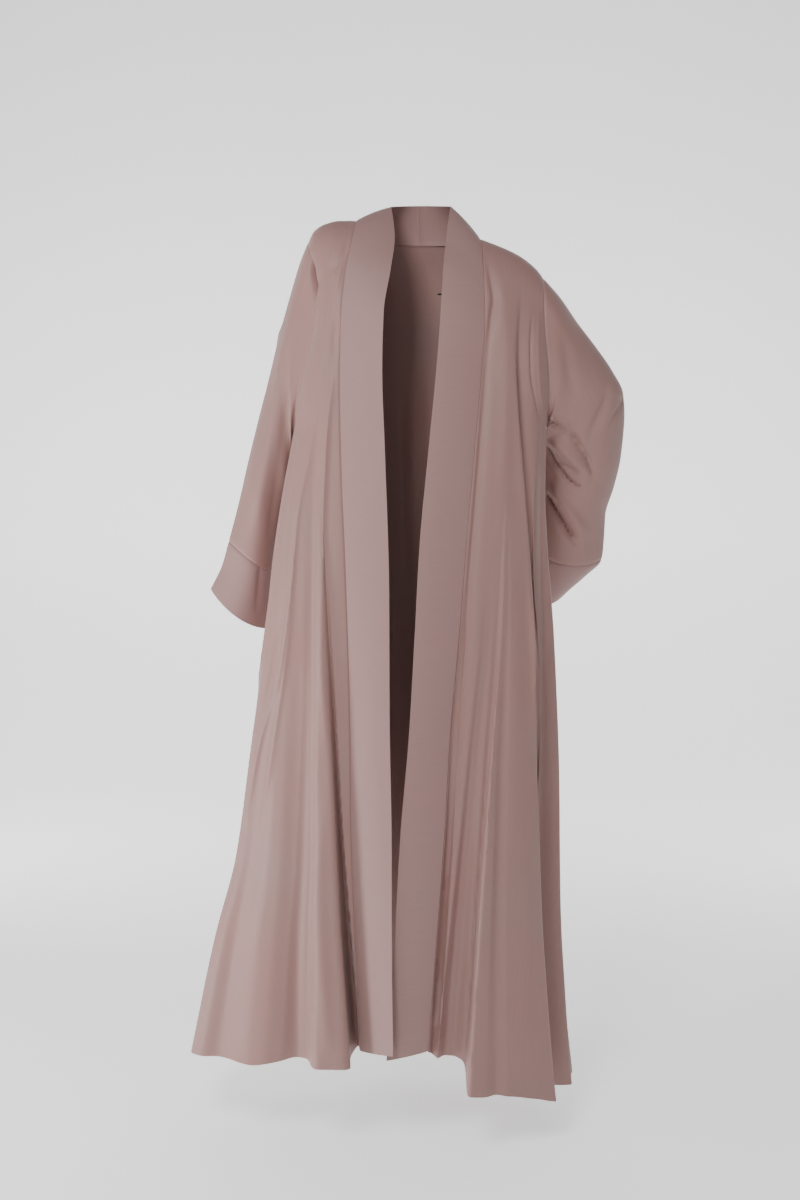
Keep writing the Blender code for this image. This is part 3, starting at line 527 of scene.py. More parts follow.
# The stage in metres: a level floor that sweeps up behind into a wall
FLOOR_HEIGHT = -1.514
FLOOR_FRONT = -8.0
FLOOR_BACK = 3.2
SWEEP_ROUND = 1.2
SWEEP_STEPS = 15
WALL_TOP = 6.0
STAGE_HALF_WIDTH = 9.0
SKY = (0.92, 0.93, 0.95, 1.0)

# Soft lights: the setting and the share of its power, place, size and aim in metres
CLOAK_MIDDLE = (0.0, 0.0, -0.68)
LIGHTS = {
    "key_softbox": ("key", 1.0, (-0.75, -2.1, 0.9), (0.7, 0.9), CLOAK_MIDDLE),
    "front_softbox": ("key", 0.12, (0.05, -2.3, 1.1), (0.7, 0.7), CLOAK_MIDDLE),
    "side_softbox": ("side", 1.0, (-2.0, -0.5, -1.0), (0.4, 0.7), (-0.35, 0.0, -1.2)),
    "wall_softbox_right": ("wall", 0.75, (1.9, 1.6, 0.2), (0.6, 1.6), (0.8, 4.2, -0.6)),
    "wall_softbox_left": ("wall", 1.0, (-1.9, 1.6, 0.2), (0.6, 1.6), (-0.8, 4.2, -0.6)),
}


def smoothstep(value):
    """Zero to one with level ends."""
    share = np.clip(value, 0.0, 1.0)
    return share * share * (3.0 - 2.0 * share)


def rounded(drop, length):
    """How far a surface has turned over a rounded shoulder at this drop."""
    share = np.clip(drop / length, 0.0, 1.0)
    return np.sqrt(1.0 - (1.0 - share) ** 2)


def quadrant(start, end, turn, share):
    """Plan curve that leaves start along X and has turned by turn degrees at end."""
    angle = np.radians(turn)
    across = np.sin(angle * share) / np.sin(angle)
    depth = (np.cos(angle * share) - np.cos(angle)) / (1.0 - np.cos(angle))
    x = start[..., 0] + (end[..., 0] - start[..., 0]) * across
    y = end[..., 1] + (start[..., 1] - end[..., 1]) * depth
    return np.stack([x, y], axis=-1)


def row_heights(tops, underarms, hems):
    """Heights of a panel's rows, one column for each top, underarm and hem."""
    arm = (1.0 - np.cos(np.pi * np.arange(ARM_ROWS + 1) / ARM_ROWS)) / 2.0
    upper_part = (1.0 - HEM_EDGE) * np.arange(1, HEM_ROWS + 1) / HEM_ROWS
    edge_part = 1.0 - HEM_EDGE + HEM_EDGE * np.arange(1, HEM_EDGE_ROWS + 1) / HEM_EDGE_ROWS
    low = np.concatenate([upper_part, edge_part])
    upper = tops + (underarms - tops) * arm[:, None]
    lower = underarms + (hems - underarms) * low[:, None]
    return np.concatenate([upper, lower])


def folded(plan, heights, places, hems, folds, outward):
    """Plan points of a panel moved out and in by its folds."""
    tangent = np.gradient(plan, axis=1)
    tangent /= np.linalg.norm(tangent, axis=-1, keepdims=True)
    normal = np.stack([-tangent[..., 1], tangent[..., 0]], axis=-1) * outward
    moved = plan.copy()
    window = smoothstep(places / BAND_EASE) * smoothstep((1.0 - places) / SIDE_EASE)
    for row in folds:
        fold = dict(zip(FOLD_COLUMNS, row))
        fall = np.clip((fold["start"] - heights) / (fold["start"] - hems), 0.0, 1.0)
        drift = smoothstep(-heights / HEM_REACH)
        centre = fold["top"] + (fold["hem"] - fold["top"]) * drift
        size = FOLD_TAPER + (1.0 - FOLD_TAPER) * fall
        across = places - centre
        flank = np.where(across < 0.0, fold["before"], fold["after"]) * size
        past = np.abs(across) - fold["crest"] * size
        swell = np.cos(np.pi / 2.0 * np.clip(past / flank, 0.0, 1.0)) ** 2
        bump = fold["depth"] * fall ** FOLD_GROWTH * swell * window
        spread = np.clip(across / (fold["crest"] * size + OVERHANG_ROUND), -1.0, 1.0)
        aside = fold["overhang"] * spread * np.abs(bump)
        moved += normal * bump[..., None] + tangent * aside[..., None]
    return moved


def coarse_places():
    """Places of the back's shoulder columns, closest together beside its seams."""
    even = (np.arange(FRONT_COLUMNS + 1) / FRONT_COLUMNS) ** COLUMN_CROWDING
    room = SEAM_STEPS[-1] + SEAM_STEPS[1]
    inner = even[(even > room) & (even < 1.0 - room)]
    return np.concatenate([SEAM_STEPS, inner, 1.0 - SEAM_STEPS[::-1]])


def front_places():
    """Places of a front panel's columns, with one between each two of the back's."""
    coarse = coarse_places()
    fine = np.empty(2 * len(coarse) - 1)
    fine[::2] = coarse
    fine[1::2] = (coarse[:-1] + coarse[1:]) / 2.0
    return fine


def side_line(side, heights, depth_name):
    """Armhole edge and side seam in plan, rounded over at the shoulder tip."""
    edge = SIDE[side]
    head = rounded(edge.ends("height")[1] - heights, SLEEVE_HEAD_ROUND)
    armhole = heights > UNDERARM[side] + SEAM_GAP
    y = np.where(armhole, edge.at(depth_name, heights) * head, edge.at("front_y", heights))
    return np.stack([edge.at("x", heights), y], axis=-1)


def front_panel(side):
    """Front panel rows from shoulder to hem, columns from band seam to side."""
    places = front_places()
    band, edge, ridge = BAND[side], SIDE[side], RIDGE[side]
    near, far = ridge.ends("reach")
    turn = math.radians(edge.ends("front_turn")[1])
    tops = ridge.at("height", near + (far - near) * np.sin(turn * places) / math.sin(turn))
    hems = HEM[side].at("height", places)
    heights = row_heights(tops, UNDERARM[side], hems)
    first, last = heights[:, 0], heights[:, -1]
    shoulder = rounded(tops[0] - first, SHOULDER_ROUND)
    start = np.stack([band.at("seam_x", first), band.at("seam_y", first) * shoulder], axis=-1)
    end = side_line(side, last, "front_y")
    turns = edge.at("front_turn", last)
    plan = quadrant(start[:, None], end[:, None], turns[:, None], places)
    plan = folded(plan, heights, places, hems, FOLDS[side], -SIGN[side])
    return np.concatenate([plan, heights[..., None]], axis=-1)


def neck_line(corner, depth, height):
    """Quarter of an oval round the neck, from a shoulder corner to centre back."""
    angles = (math.pi / 2.0) * (1.0 - np.arange(NECK_COLUMNS + 1) / NECK_COLUMNS)
    x = corner[0] * np.sin(angles)
    y = depth * np.cos(angles)
    z = height + (corner[2] - height) * (1.0 - np.cos(angles))
    return np.stack([x, y, z], axis=-1)


def back_spread(drop):
    """Distances of the back's columns from centre back, by drop below the shoulder."""
    neck = np.arange(NECK_COLUMNS) / NECK_COLUMNS
    beside_neck = np.sin(math.pi / 2.0 * neck)
    shoulder = coarse_places()
    top = [NECK_SHARE_TOP * beside_neck, NECK_SHARE_TOP + (1.0 - NECK_SHARE_TOP) * shoulder]
    low = [NECK_SHARE_LOW * neck, NECK_SHARE_LOW + (1.0 - NECK_SHARE_LOW) * shoulder]
    top, low = np.concatenate(top), np.concatenate(low)
    return top + (low - top) * smoothstep(drop / NECK_SPREAD)


def half_back(side, front):
    """One half of the back panel's unfolded rows, columns from centre back outwards."""
    neck = neck_line(front[0, 0], NECK_SEAM_DEPTH, NECK_SEAM_HEIGHT)[::-1]
    top = np.concatenate([neck, front[0, 2::2]])
    places = (1.0 + SIGN[side] * back_spread(HEM_REACH)) / 2.0
    underarms = UNDERARM["right"] + (UNDERARM["left"] - UNDERARM["right"]) * places
    heights = row_heights(top[:, 2], underarms, HEM["back"].at("height", places))
    centre = np.stack([0.0 * heights[:, 0], CENTRE_BACK.at("y", heights[:, 0])], axis=-1)
    end = side_line(side, heights[:, -1], "back_y")
    turns = SIDE[side].at("back_turn", heights[:, -1])
    drop = top[:, 2] - heights
    distance = back_spread(drop)
    plan = quadrant(centre[:, None], end[:, None], turns[:, None], distance)
    plan += (top[:, :2] - plan[0]) * (1.0 - rounded(drop, SHOULDER_ROUND))[..., None]
    return plan, heights, (1.0 + SIGN[side] * distance) / 2.0


def back_panel(fronts):
    """Back panel rows from shoulder to hem, columns from right side to left side."""
    right, left = half_back("right", fronts["right"]), half_back("left", fronts["left"])
    plan, heights, places = (
        np.concatenate([half[:, :0:-1], other], axis=1) for half, other in zip(right, left)
    )
    plan = folded(plan, heights, places, heights[-1], FOLDS["back"], 1.0)
    return np.concatenate([plan, heights[..., None]], axis=-1)


def front_band(side, front):
    """Band rows from centre back over the shoulder to the hem, edge to seam."""
    band = BAND[side]
    top = np.array([band.at("edge_x", 1.0), band.at("edge_y", 1.0), band.ends("height")[1]])
    heights = row_heights(top[2:], UNDERARM[side], front[-1, 0, 2:])[:, 0]
    edge = np.stack([band.at("edge_x", heights), band.at("edge_y", heights), heights], axis=-1)
    neck_edge = neck_line(top, NECK_EDGE_DEPTH, NECK_EDGE_HEIGHT)[:0:-1]
    neck_seam = neck_line(front[0, 0], NECK_SEAM_DEPTH, NECK_SEAM_HEIGHT)[:0:-1]
    edge = np.concatenate([neck_edge, edge])
    seam = np.concatenate([neck_seam, front[:, 0]])
    share = np.arange(BAND_COLUMNS + 1)[None, :, None] / BAND_COLUMNS
    grid = edge[:, None] + (seam - edge)[:, None] * share
    low = smoothstep((BAND_HEM_START - heights) / (BAND_HEM_START - heights[-1]))
    grid[-len(heights):, :, 2] += BAND_HEM_RISE[side] * low[:, None] * (1.0 - share[..., 0])
    down = np.gradient(grid, axis=0)
    across = (seam - edge)[:, None]
    out = np.cross(down, across) * SIGN[side]
    out /= np.linalg.norm(out, axis=-1, keepdims=True)
    return grid + out * BAND_BOW * 4.0 * share * (1.0 - share)


def armhole_loop(front, back_edge):
    """Armhole of a front panel and of the back's edge, from the tip round the front."""
    return np.concatenate([front[:ARM_ROWS + 1, -1], back_edge[ARM_ROWS - 1:0:-1]])


def sleeve_rings(side, loop, reaches):
    """Rings of a sleeve at these reaches, the first of them fitted to the armhole."""
    table = SLEEVE[side]
    angles = math.pi / ARM_ROWS * np.arange(2 * ARM_ROWS)

    def ring(reach):
        """One ring from the table, as points from the top round the front."""
        top = np.array([table.at("top_" + axis, reach) for axis in "xyz"])
        under = np.array([table.at("under_" + axis, reach) for axis in "xyz"])
        arm = (top - under) / 2.0
        along = arm / np.linalg.norm(arm)
        ahead = np.array([0.0, -1.0, 0.0])
        ahead -= along * (ahead @ along)
        ahead /= np.linalg.norm(ahead)
        tilt = math.radians(table.at("tilt", reach))
        ahead = math.cos(tilt) * ahead + math.sin(tilt) * SIGN[side] * np.cross(along, ahead)
        depth = np.where(angles < math.pi, table.at("front", reach), table.at("behind", reach))
        flat = 1.0 + SLEEVE_FLATNESS * smoothstep(reach / SLEEVE_FLAT_REACH)
        across = np.sign(np.sin(angles)) * np.abs(np.sin(angles)) ** flat
        middle = (top + under) / 2.0
        return middle + np.cos(angles)[:, None] * arm + (depth * across)[:, None] * ahead

    fit = loop - ring(0.0)
    blends = 1.0 - smoothstep(np.asarray(reaches) / SLEEVE_BLEND)
    return np.array([ring(reach) + fit * blend for reach, blend in zip(reaches, blends)])


def grid_quads(rows, columns, closed, flipped):
    """Faces of a grid of points, wound so that they point out of the cloak."""
    row, column = np.meshgrid(
        np.arange(rows - 1), np.arange(columns if closed else columns - 1), indexing="ij"
    )
    row, column = row.ravel(), column.ravel()
    beside = (column + 1) % columns
    quads = np.stack([
        row * columns + column, row * columns + beside,
        (row + 1) * columns + beside, (row + 1) * columns + column,
    ], axis=1)
    return quads[:, ::-1] if flipped else quads


class Piece:
    """The outer surface of one cut piece, as a grid of points and its faces."""

    def __init__(self, name, grid, closed, flipped):
        self.name = name
        self.shape = grid.shape
        self.flipped = flipped
        self.points = grid.reshape(-1, 3).copy()
        self.quads = grid_quads(grid.shape[0], grid.shape[1], closed, flipped)

    def grid(self):
        """The points as rows and columns."""
        return self.points.reshape(self.shape)

    def normals(self):
        """Unit normals at the points, from this piece alone."""
        corners = self.points[self.quads]
        faces = np.cross(corners[:, 2] - corners[:, 0], corners[:, 3] - corners[:, 1])
        total = np.zeros_like(self.points)
        np.add.at(total, self.quads.ravel(), np.repeat(faces, 4, axis=0))
        length = np.linalg.norm(total, axis=1, keepdims=True)
        return total / np.maximum(length, TINY)


def seam_keys(points):
    """Keys that the points of two pieces share along their seam."""
    return [tuple(key) for key in np.round(points, 5)]


def shared_normals(pieces):
    """Unit normals of all pieces, shared at the points where pieces meet."""
    total, keys = {}, {}
    for piece in pieces.values():
        keys[piece.name] = seam_keys(piece.points)
        for key, normal in zip(keys[piece.name], piece.normals()):
            total[key] = total[key] + normal if key in total else normal
    made = {}
    for name, names in keys.items():
        summed = np.array([total[key] for key in names])
        if name.startswith("front"):
            top = summed[:pieces[name].shape[1]]
            top[1::2] = (top[:-1:2] + top[2::2]) / 2.0
        made[name] = summed / np.linalg.norm(summed, axis=1, keepdims=True)
    return made


def smooth_path(points, steps):
    """A smooth curve through these points, read at this many places."""
    points = np.array(points, dtype=float)
    ends = np.concatenate([[2.0 * points[0] - points[1]], points, [2.0 * points[-1] - points[-2]]])
    where = np.linspace(0.0, len(points) - 1.0, steps)
    index = np.minimum(where.astype(int), len(points) - 2)
    t = (where - index)[:, None]
    a, b, c, d = (ends[index + k] for k in range(4))
    return 0.5 * (2.0 * b + (c - a) * t + (2.0 * a - 5.0 * b + 4.0 * c - d) * t ** 2
                  + (3.0 * b - a - 3.0 * c + d) * t ** 3)


def sight(seen, across, down):
    """Start and direction of the line of sight to a place, seen from that side."""
    if seen == "front":
        spread = LENS / LONG_SENSOR * PICTURE_HEIGHT
        right = (across - PICTURE_WIDTH / 2.0) / spread
        up = (PICTURE_HEIGHT / 2.0 - down) / spread
        return Vector(EYE), Vector((right, 1.0, up)).normalized()
    if seen == "behind":
        return Vector((-across, VIEWER_DISTANCE, down)), Vector((0.0, -1.0, 0.0))
    return Vector((VIEWER_DISTANCE, across, down)), Vector((-1.0, 0.0, 0.0))


def on_cloth(tree, seen, across, down):
    """The place on the cloth that this line of sight meets, or the nearest to it."""
    start, direction = sight(seen, across, down)
    hit = tree.ray_cast(start, direction)[0]
    if hit is None:
        near = start + direction * (abs(start.y) + abs(start.x))
        hit = tree.find_nearest(near)[0]
    return np.array(hit)


def crease_offsets(piece, normals, crease, path):
    """How far a crease lifts each point of a piece."""
    width = CREASE_REACH * max(crease["near"], crease["far"])
    low, high = path.min(axis=0) - width, path.max(axis=0) + width
    chosen = np.flatnonzero(((piece.points > low) & (piece.points < high)).all(axis=1))
    lift = np.zeros(len(piece.points))
    if not len(chosen):
        return lift
    points = piece.points[chosen]
    start, run = path[:-1], np.diff(path, axis=0)
    lengths = np.linalg.norm(run, axis=1)
    travelled = np.concatenate([[0.0], np.cumsum(lengths)])
    best = np.full(len(points), np.inf)
    side, place = np.zeros(len(points)), np.zeros(len(points))
    for begin, step, length, gone in zip(start, run, lengths, travelled):
        share = np.clip((points - begin) @ step / max(length * length, TINY), 0.0, 1.0)
        away = points - begin - share[:, None] * step
        distance = np.linalg.norm(away, axis=1)
        closer = distance < best
        turn = np.einsum("ij,ij->i", np.cross(step, away), normals[chosen])
        best = np.where(closer, distance, best)
        side = np.where(closer, turn, side)
        place = np.where(closer, (gone + share * length) / travelled[-1], place)
    reach = np.where(side > 0.0, crease["far"], crease["near"])
    ratio = best / reach
    soft = np.exp(-ratio ** 2)
    sharp = np.exp(-CREST_FALL * ratio)
    rise, fall = crease["fades"]
    fade = smoothstep(place / rise) * smoothstep((1.0 - place) / fall)
    profile = soft + (sharp - soft) * crease["crisp"]
    lift[chosen] = crease["depth"] * profile * fade
    return lift


def cloth_lengths(grid):
    """Lengths along the cloth from the first column and from the first row."""
    over = np.linalg.norm(np.diff(grid, axis=1), axis=-1)
    down = np.linalg.norm(np.diff(grid, axis=0), axis=-1)
    across = np.concatenate([np.zeros((grid.shape[0], 1)), np.cumsum(over, axis=1)], axis=1)
    return across, np.concatenate([np.zeros((1, grid.shape[1])), np.cumsum(down, axis=0)])


def seam_distance(piece):
    """Distance of each point from the nearest sewn rim along the cloth."""
    across, down = cloth_lengths(piece.grid())
    rims = (down, down[-1] - down, across, across[:, -1:] - across)
    sewn = [rim for rim, is_sewn in zip(rims, SEWN_RIMS[piece.name.split("_")[0]]) if is_sewn]
    return np.minimum.reduce(sewn).ravel()


def wave_offsets(points):
    """Gentle waves of the hanging cloth at these points."""
    around = 0.5 * np.arctan2(points[:, 0], -points[:, 1])
    growth = smoothstep((WAVE_START - points[:, 2]) / WAVE_GROWTH)
    total = np.zeros(len(points))
    for length, heading, height, phase in WAVES:
        slant = math.radians(heading)
        level = points[:, 0] * math.cos(slant) + WAVE_AROUND * around * math.cos(slant)
        run = level + points[:, 2] * math.sin(slant)
        total += height * np.sin(2.0 * math.pi * run / length + math.radians(phase))
    return total * growth


@functools.lru_cache(maxsize=1)
def cloak_pieces(strength):
    """Every cut piece of cloth with its folds and creases, and its normals."""
    fronts = {side: front_panel(side) for side in SIGN}
    back = back_panel(fronts)
    made = [Piece("back", back, False, False)]
    back_edges = {"right": back[:, 0], "left": back[:, -1]}
    for side in SIGN:
        left = side == "left"
        loop = armhole_loop(fronts[side], back_edges[side])
        seam, end = CUFF_SEAM[side], SLEEVE_END[side]
        sleeve = sleeve_rings(side, loop, np.linspace(0.0, seam, SLEEVE_RINGS[side] + 1))
        cuff = sleeve_rings(side, loop, np.linspace(seam, end, CUFF_RINGS + 1))
        made += [
            Piece("front_" + side, fronts[side], False, left),
            Piece("band_" + side, front_band(side, fronts[side]), False, left),
            Piece("sleeve_" + side, sleeve, True, not left),
            Piece("cuff_" + side, cuff, True, not left),
        ]
    pieces = {piece.name: piece for piece in made}
    normals = shared_normals(pieces)
    lifts = {name: wave_offsets(piece.points) for name, piece in pieces.items()}
    trees = {
        name: BVHTree.FromPolygons(piece.points.tolist(), piece.quads.tolist())
        for name, piece in pieces.items()
    }
    for (seen, over), rows in CREASES.items():
        names = over.split()
        for row in rows:
            crease = dict(zip(CREASE_COLUMNS, row))
            places = smooth_path(crease["path"], CREASE_STEPS)
            path = np.array([on_cloth(trees[names[0]], seen, *place) for place in places])
            for name in names:
                lift = crease_offsets(pieces[name], normals[name], crease, path)
                if len(names) == 1:
                    lift *= smoothstep(seam_distance(pieces[name]) / SEAM_FADE)
                lifts[name] += strength * lift
    for name, piece in pieces.items():
        dip = SEAM_DIP * np.exp(-(seam_distance(piece) / SEAM_DIP_WIDTH) ** 2)
        moved = lifts[name] - dip
        if name.startswith("band"):
            ahead = smoothstep(-piece.points[:, 1] / BAND_LIFT_START)
            moved = BAND_SOFTNESS * lifts[name] + BAND_LIFT * ahead - dip * (1.0 - ahead)
        piece.points += normals[name] * moved[:, None]
    return pieces, shared_normals(pieces)


def hex_to_linear(code):
    """Linear colour of an sRGB hex value."""
    values = [int(code[start:start + 2], 16) / 255.0 for start in (0, 2, 4)]
    return [v / 12.92 if v <= 0.04045 else ((v + 0.055) / 1.055) ** 2.4 for v in values]


def length_setting(name, description, default, low, high):
    """A length of the cloth or its sewing, in metres."""
    return bpy.props.FloatProperty(
        name=name, description=description, default=default, min=low, max=high,
        subtype="DISTANCE", unit="LENGTH")


def colour_setting(name, description, code):
    """A colour, given as an sRGB hex value."""
    return bpy.props.FloatVectorProperty(
        name=name, description=description, default=hex_to_linear(code), size=3,
        min=0.0, max=1.0, subtype="COLOR")


def power_setting(name, description, default):
    """The power of a light, in watts."""
    return bpy.props.FloatProperty(
        name=name, description=description, default=default, min=0.0, max=500.0,
        subtype="POWER", unit="POWER")


class AbayaCut(bpy.types.PropertyGroup):
    """Sizes of the cloth and its sewing."""

    wall: length_setting(
        "Cloth wall", "Thickness of one layer of the crepe", 0.0007, 0.0002, 0.002)
    band_wall: length_setting(
        "Band wall", "Thickness of the doubled, interfaced bands and cuffs",
        0.0014, 0.0005, 0.003)
    crease_strength: bpy.props.FloatProperty(
        name="Crease strength", description="How deep the hand-placed creases are",
        default=1.0, min=0.0, max=2.0, subtype="FACTOR")
    hem_turn: length_setting("Hem turn-up", "Height of the turned hem", 0.012, 0.004, 0.03)
    stitch: length_setting("Stitch length", "Length of one hem stitch", 0.0024, 0.001, 0.006)
    stitch_gap: length_setting(
        "Stitch gap", "Gap between two hem stitches", 0.0010, 0.0003, 0.004)


class AbayaCloth(bpy.types.PropertyGroup):
    """Colours of the cloth and its thread."""

    face: colour_setting("Crepe", "Colour of the panels' and sleeves' crepe", "98716b")
    cool: colour_setting("Cool threads", "Greyer threads that run through the crepe", "937671")
    band: colour_setting("Band crepe", "Colour of the bands' and cuffs' crepe", "987572")
    thread: colour_setting("Thread", "Colour of the sewing thread", "8d6c67")


class AbayaStage(bpy.types.PropertyGroup):
    """Light on the stage."""

    glow: bpy.props.FloatProperty(
        name="Backdrop glow", description="Strength of the light behind the backdrop",
        default=0.90, min=0.0, max=2.0, subtype="FACTOR")
    key: power_setting("Key light", "Power of the soft light at the viewer's left", 46.5)
    side: power_setting("Side light", "Power of the low soft light at the far left", 30.0)
    wall: power_setting("Wall lights", "Power of each soft light on the backdrop", 55.0)
    ambient: bpy.props.FloatProperty(
        name="Ambient", description="Strength of the pale light all round",
        default=0.12, min=0.0, max=3.0, subtype="FACTOR")


def add_node(tree, kind, settings=None, links=None):
    """Add a node with its settings and its links."""
    made = tree.nodes.new(kind)
    for name, value in (settings or {}).items():
        if isinstance(name, int) or name in made.inputs:
            made.inputs[name].default_value = value
        else:
            setattr(made, name, value)
    for name, source in (links or {}).items():
        tree.links.new(source, made.inputs[name])
    return made


def new_material(name):
    """An empty node material and its node tree."""
    material = bpy.data.materials.new(name)
    material.use_nodes = True
    tree = material.node_tree
    tree.nodes.clear()
    return material, tree


def add_noise(tree, place, scale, detail, roughness=0.5):
    """Noise over the places of a surface."""
    settings = {"Scale": scale, "Detail": detail, "Roughness": roughness}
    return add_node(tree, "ShaderNodeTexNoise", settings, {"Vector": place}).outputs["Fac"]


def add_range(tree, value, low, high, ends=(0.0, 1.0)):
    """A value between these ends, spread from low to high."""
    settings = {"From Min": ends[0], "From Max": ends[1], "To Min": low, "To Max": high}
    return add_node(tree, "ShaderNodeMapRange", settings, {"Value": value}).outputs["Result"]


def add_surface(tree, settings, links):
    """The surface of a material, joined to its output."""
    shader = add_node(tree, "ShaderNodeBsdfPrincipled", settings, links)
    add_node(tree, "ShaderNodeOutputMaterial", None, {"Surface": shader.outputs["BSDF"]})


# Thread sizes in metres. The crepe's real threads are about 0.12 mm apart, far too
# fine for the picture, so the warp and weft lines are drawn 1.6 and 1.4 mm apart.
WARP_SPACING = 0.0016
WEFT_SPACING = 0.0014
SLUB_LENGTH = 0.060
GRAIN_SIZE = 0.0011

# The range that most of a noise falls in
NOISE_ENDS = (0.3, 0.7)


def crepe_material(name, face, cool, weft_share, roughness):
    """Satin-backed polyester crepe, woven with twisted threads and piece dyed.

    The twisted threads give a matt pebbled face, and the satin back a soft sheen on
    every ridge, greyer than the cloth itself.
    """
    material, tree = new_material(name)
    place = add_node(tree, "ShaderNodeUVMap", {"uv_map": CUT_LAYER}).outputs["UV"]
    lines = []
    for across, down in ((WARP_SPACING, SLUB_LENGTH), (SLUB_LENGTH, WEFT_SPACING)):
        scaled = add_node(tree, "ShaderNodeMapping", {"Scale": (1.0 / across, 1.0 / down, 1.0)},
                          {"Vector": place})
        lines.append(add_noise(tree, scaled.outputs["Vector"], scale=1.0, detail=2.0))
    threads = add_node(tree, "ShaderNodeMix", {"data_type": "FLOAT", 0: weft_share},
                       {2: lines[0], 3: lines[1]}).outputs["Result"]
    grain = add_noise(tree, place, scale=1.0 / GRAIN_SIZE, detail=3.0, roughness=0.7)
    clouds = add_noise(tree, place, scale=5.0, detail=3.0)
    dyed = add_node(tree, "ShaderNodeMix",
                    {"data_type": "RGBA", 6: (*face, 1.0), 7: (*cool, 1.0)},
                    {0: add_range(tree, clouds, 0.1, 0.8, NOISE_ENDS)})
    shade = add_range(tree, threads, 0.96, 1.04, NOISE_ENDS)
    colour = add_node(tree, "ShaderNodeVectorMath", {"operation": "SCALE"},
                      {0: dyed.outputs[2], "Scale": shade})
    gloss = add_range(tree, grain, roughness - 0.05, roughness + 0.05, NOISE_ENDS)
    relief = add_node(tree, "ShaderNodeMix", {"data_type": "FLOAT", 0: 0.45},
                      {2: threads, 3: grain})
    bump = add_node(tree, "ShaderNodeBump", {"Strength": 0.35, "Distance": 0.0003},
                    {"Height": relief.outputs["Result"]})
    add_surface(tree, {
        "Specular IOR Level": 0.38, "Sheen Weight": 0.20, "Sheen Roughness": 0.42,
        "Sheen Tint": (0.92, 0.88, 0.87, 1.0),
    }, {
        "Base Color": colour.outputs["Vector"], "Roughness": gloss,
        "Normal": bump.outputs["Normal"],
    })
    return material


def thread_material(colour):
    """Spun polyester sewing thread, twisted: a matt line a little darker than the cloth."""
    material, tree = new_material("spun_polyester_thread")
    place = add_node(tree, "ShaderNodeTexCoord").outputs["Object"]
    twist = add_noise(tree, place, scale=2500.0, detail=1.0)
    dyed = add_node(tree, "ShaderNodeVectorMath", {"operation": "SCALE", 0: colour},
                    {"Scale": add_range(tree, twist, 0.85, 1.1)})
    add_surface(tree, {"Roughness": 0.7, "Sheen Weight": 0.2, "Sheen Roughness": 0.5},
                {"Base Color": dyed.outputs["Vector"]})
    return material


def hook_material():
    """Black-lacquered steel wire, dipped: dark with small bright glints where it bends."""
    material, tree = new_material("lacquered_wire")
    place = add_node(tree, "ShaderNodeTexCoord").outputs["Object"]
    wear = add_noise(tree, place, scale=900.0, detail=2.0)
    tone = add_node(tree, "ShaderNodeMix", {
        "data_type": "RGBA", 6: (*hex_to_linear("1f1a19"), 1.0),
        7: (*hex_to_linear("4a403d"), 1.0),
    }, {0: wear})
    worn = add_range(tree, wear, 0.22, 0.42, (0.35, 0.75))
    add_surface(tree, {"Metallic": 0.75}, {"Base Color": tone.outputs[2], "Roughness": worn})
    return material


def stage_material(name, code, glow):
    """Translucent acrylic, cast and lit from behind: pale and even with a faint mottle."""
    material, tree = new_material(name)
    place = add_node(tree, "ShaderNodeTexCoord").outputs["Object"]
    mottle = add_noise(tree, place, scale=1.5, detail=2.0)
    tone = add_node(tree, "ShaderNodeVectorMath", {"operation": "SCALE", 0: hex_to_linear(code)},
                    {"Scale": add_range(tree, mottle, 0.98, 1.02)}).outputs["Vector"]
    add_surface(tree, {"Roughness": 0.85, "Emission Strength": glow},
                {"Base Color": tone, "Emission Color": tone})
    return material


def panel_crepe(cloth):
    """The crepe of panels and sleeves, with its threads running down."""
    name = "mauve_satin_crepe"
    return bpy.data.materials.get(name) or crepe_material(
        name, cloth.face, cloth.cool, weft_share=0.25, roughness=0.56)


def band_crepe(cloth):
    """The same crepe laid across the bands and cuffs, so its lines run level."""
    name = "interfaced_crepe"
    return bpy.data.materials.get(name) or crepe_material(
        name, cloth.band, cloth.cool, weft_share=0.8, roughness=0.6)


def edge_lists(piece):
    """The rims of a piece as loops of directed edges of its faces."""
    quads = piece.quads
    starts = quads.ravel()
    ends = np.roll(quads, -1, axis=1).ravel()
    count = len(piece.points)
    codes = starts.astype(np.int64) * count + ends
    back_codes = ends.astype(np.int64) * count + starts
    rim = ~np.isin(codes, back_codes)
    return starts[rim], ends[rim]


def thin_shell(piece, normals, wall):
    """Points, faces and cut places of a closed layer of cloth with a rounded rim."""
    count = len(piece.points)
    outer = piece.points
    inner = outer - wall * normals
    starts, ends = edge_lists(piece)
    order = {corner: place for place, corner in enumerate(starts)}
    away = np.zeros((len(starts), 3))
    for start, end in zip(starts, ends):
        out = np.cross(outer[end] - outer[start], normals[start])
        out /= max(np.linalg.norm(out), TINY)
        away[order[start]] += out
        away[order[end]] += out
    away /= np.maximum(np.linalg.norm(away, axis=1, keepdims=True), TINY)
    bulge = outer[starts] - 0.5 * wall * normals[starts] + RIM_BULGE * wall * away
    faces = piece.quads.tolist()
    faces += (piece.quads[:, ::-1] + count).tolist()
    for start, end in zip(starts.tolist(), ends.tolist()):
        mid_start, mid_end = 2 * count + order[start], 2 * count + order[end]
        faces.append([end, start, mid_start, mid_end])
        faces.append([mid_end, mid_start, start + count, end + count])
    places = np.stack(cloth_lengths(piece.grid()), axis=-1).reshape(-1, 2)
    return (
        np.concatenate([outer, inner, bulge]), faces,
        np.concatenate([places, places, places[starts]]),
    )


def hem_steps(grid, height):
    """How many of a panel's last row steps make up this height."""
    return int(round(height / np.linalg.norm(grid[-1, 0] - grid[-2, 0])))


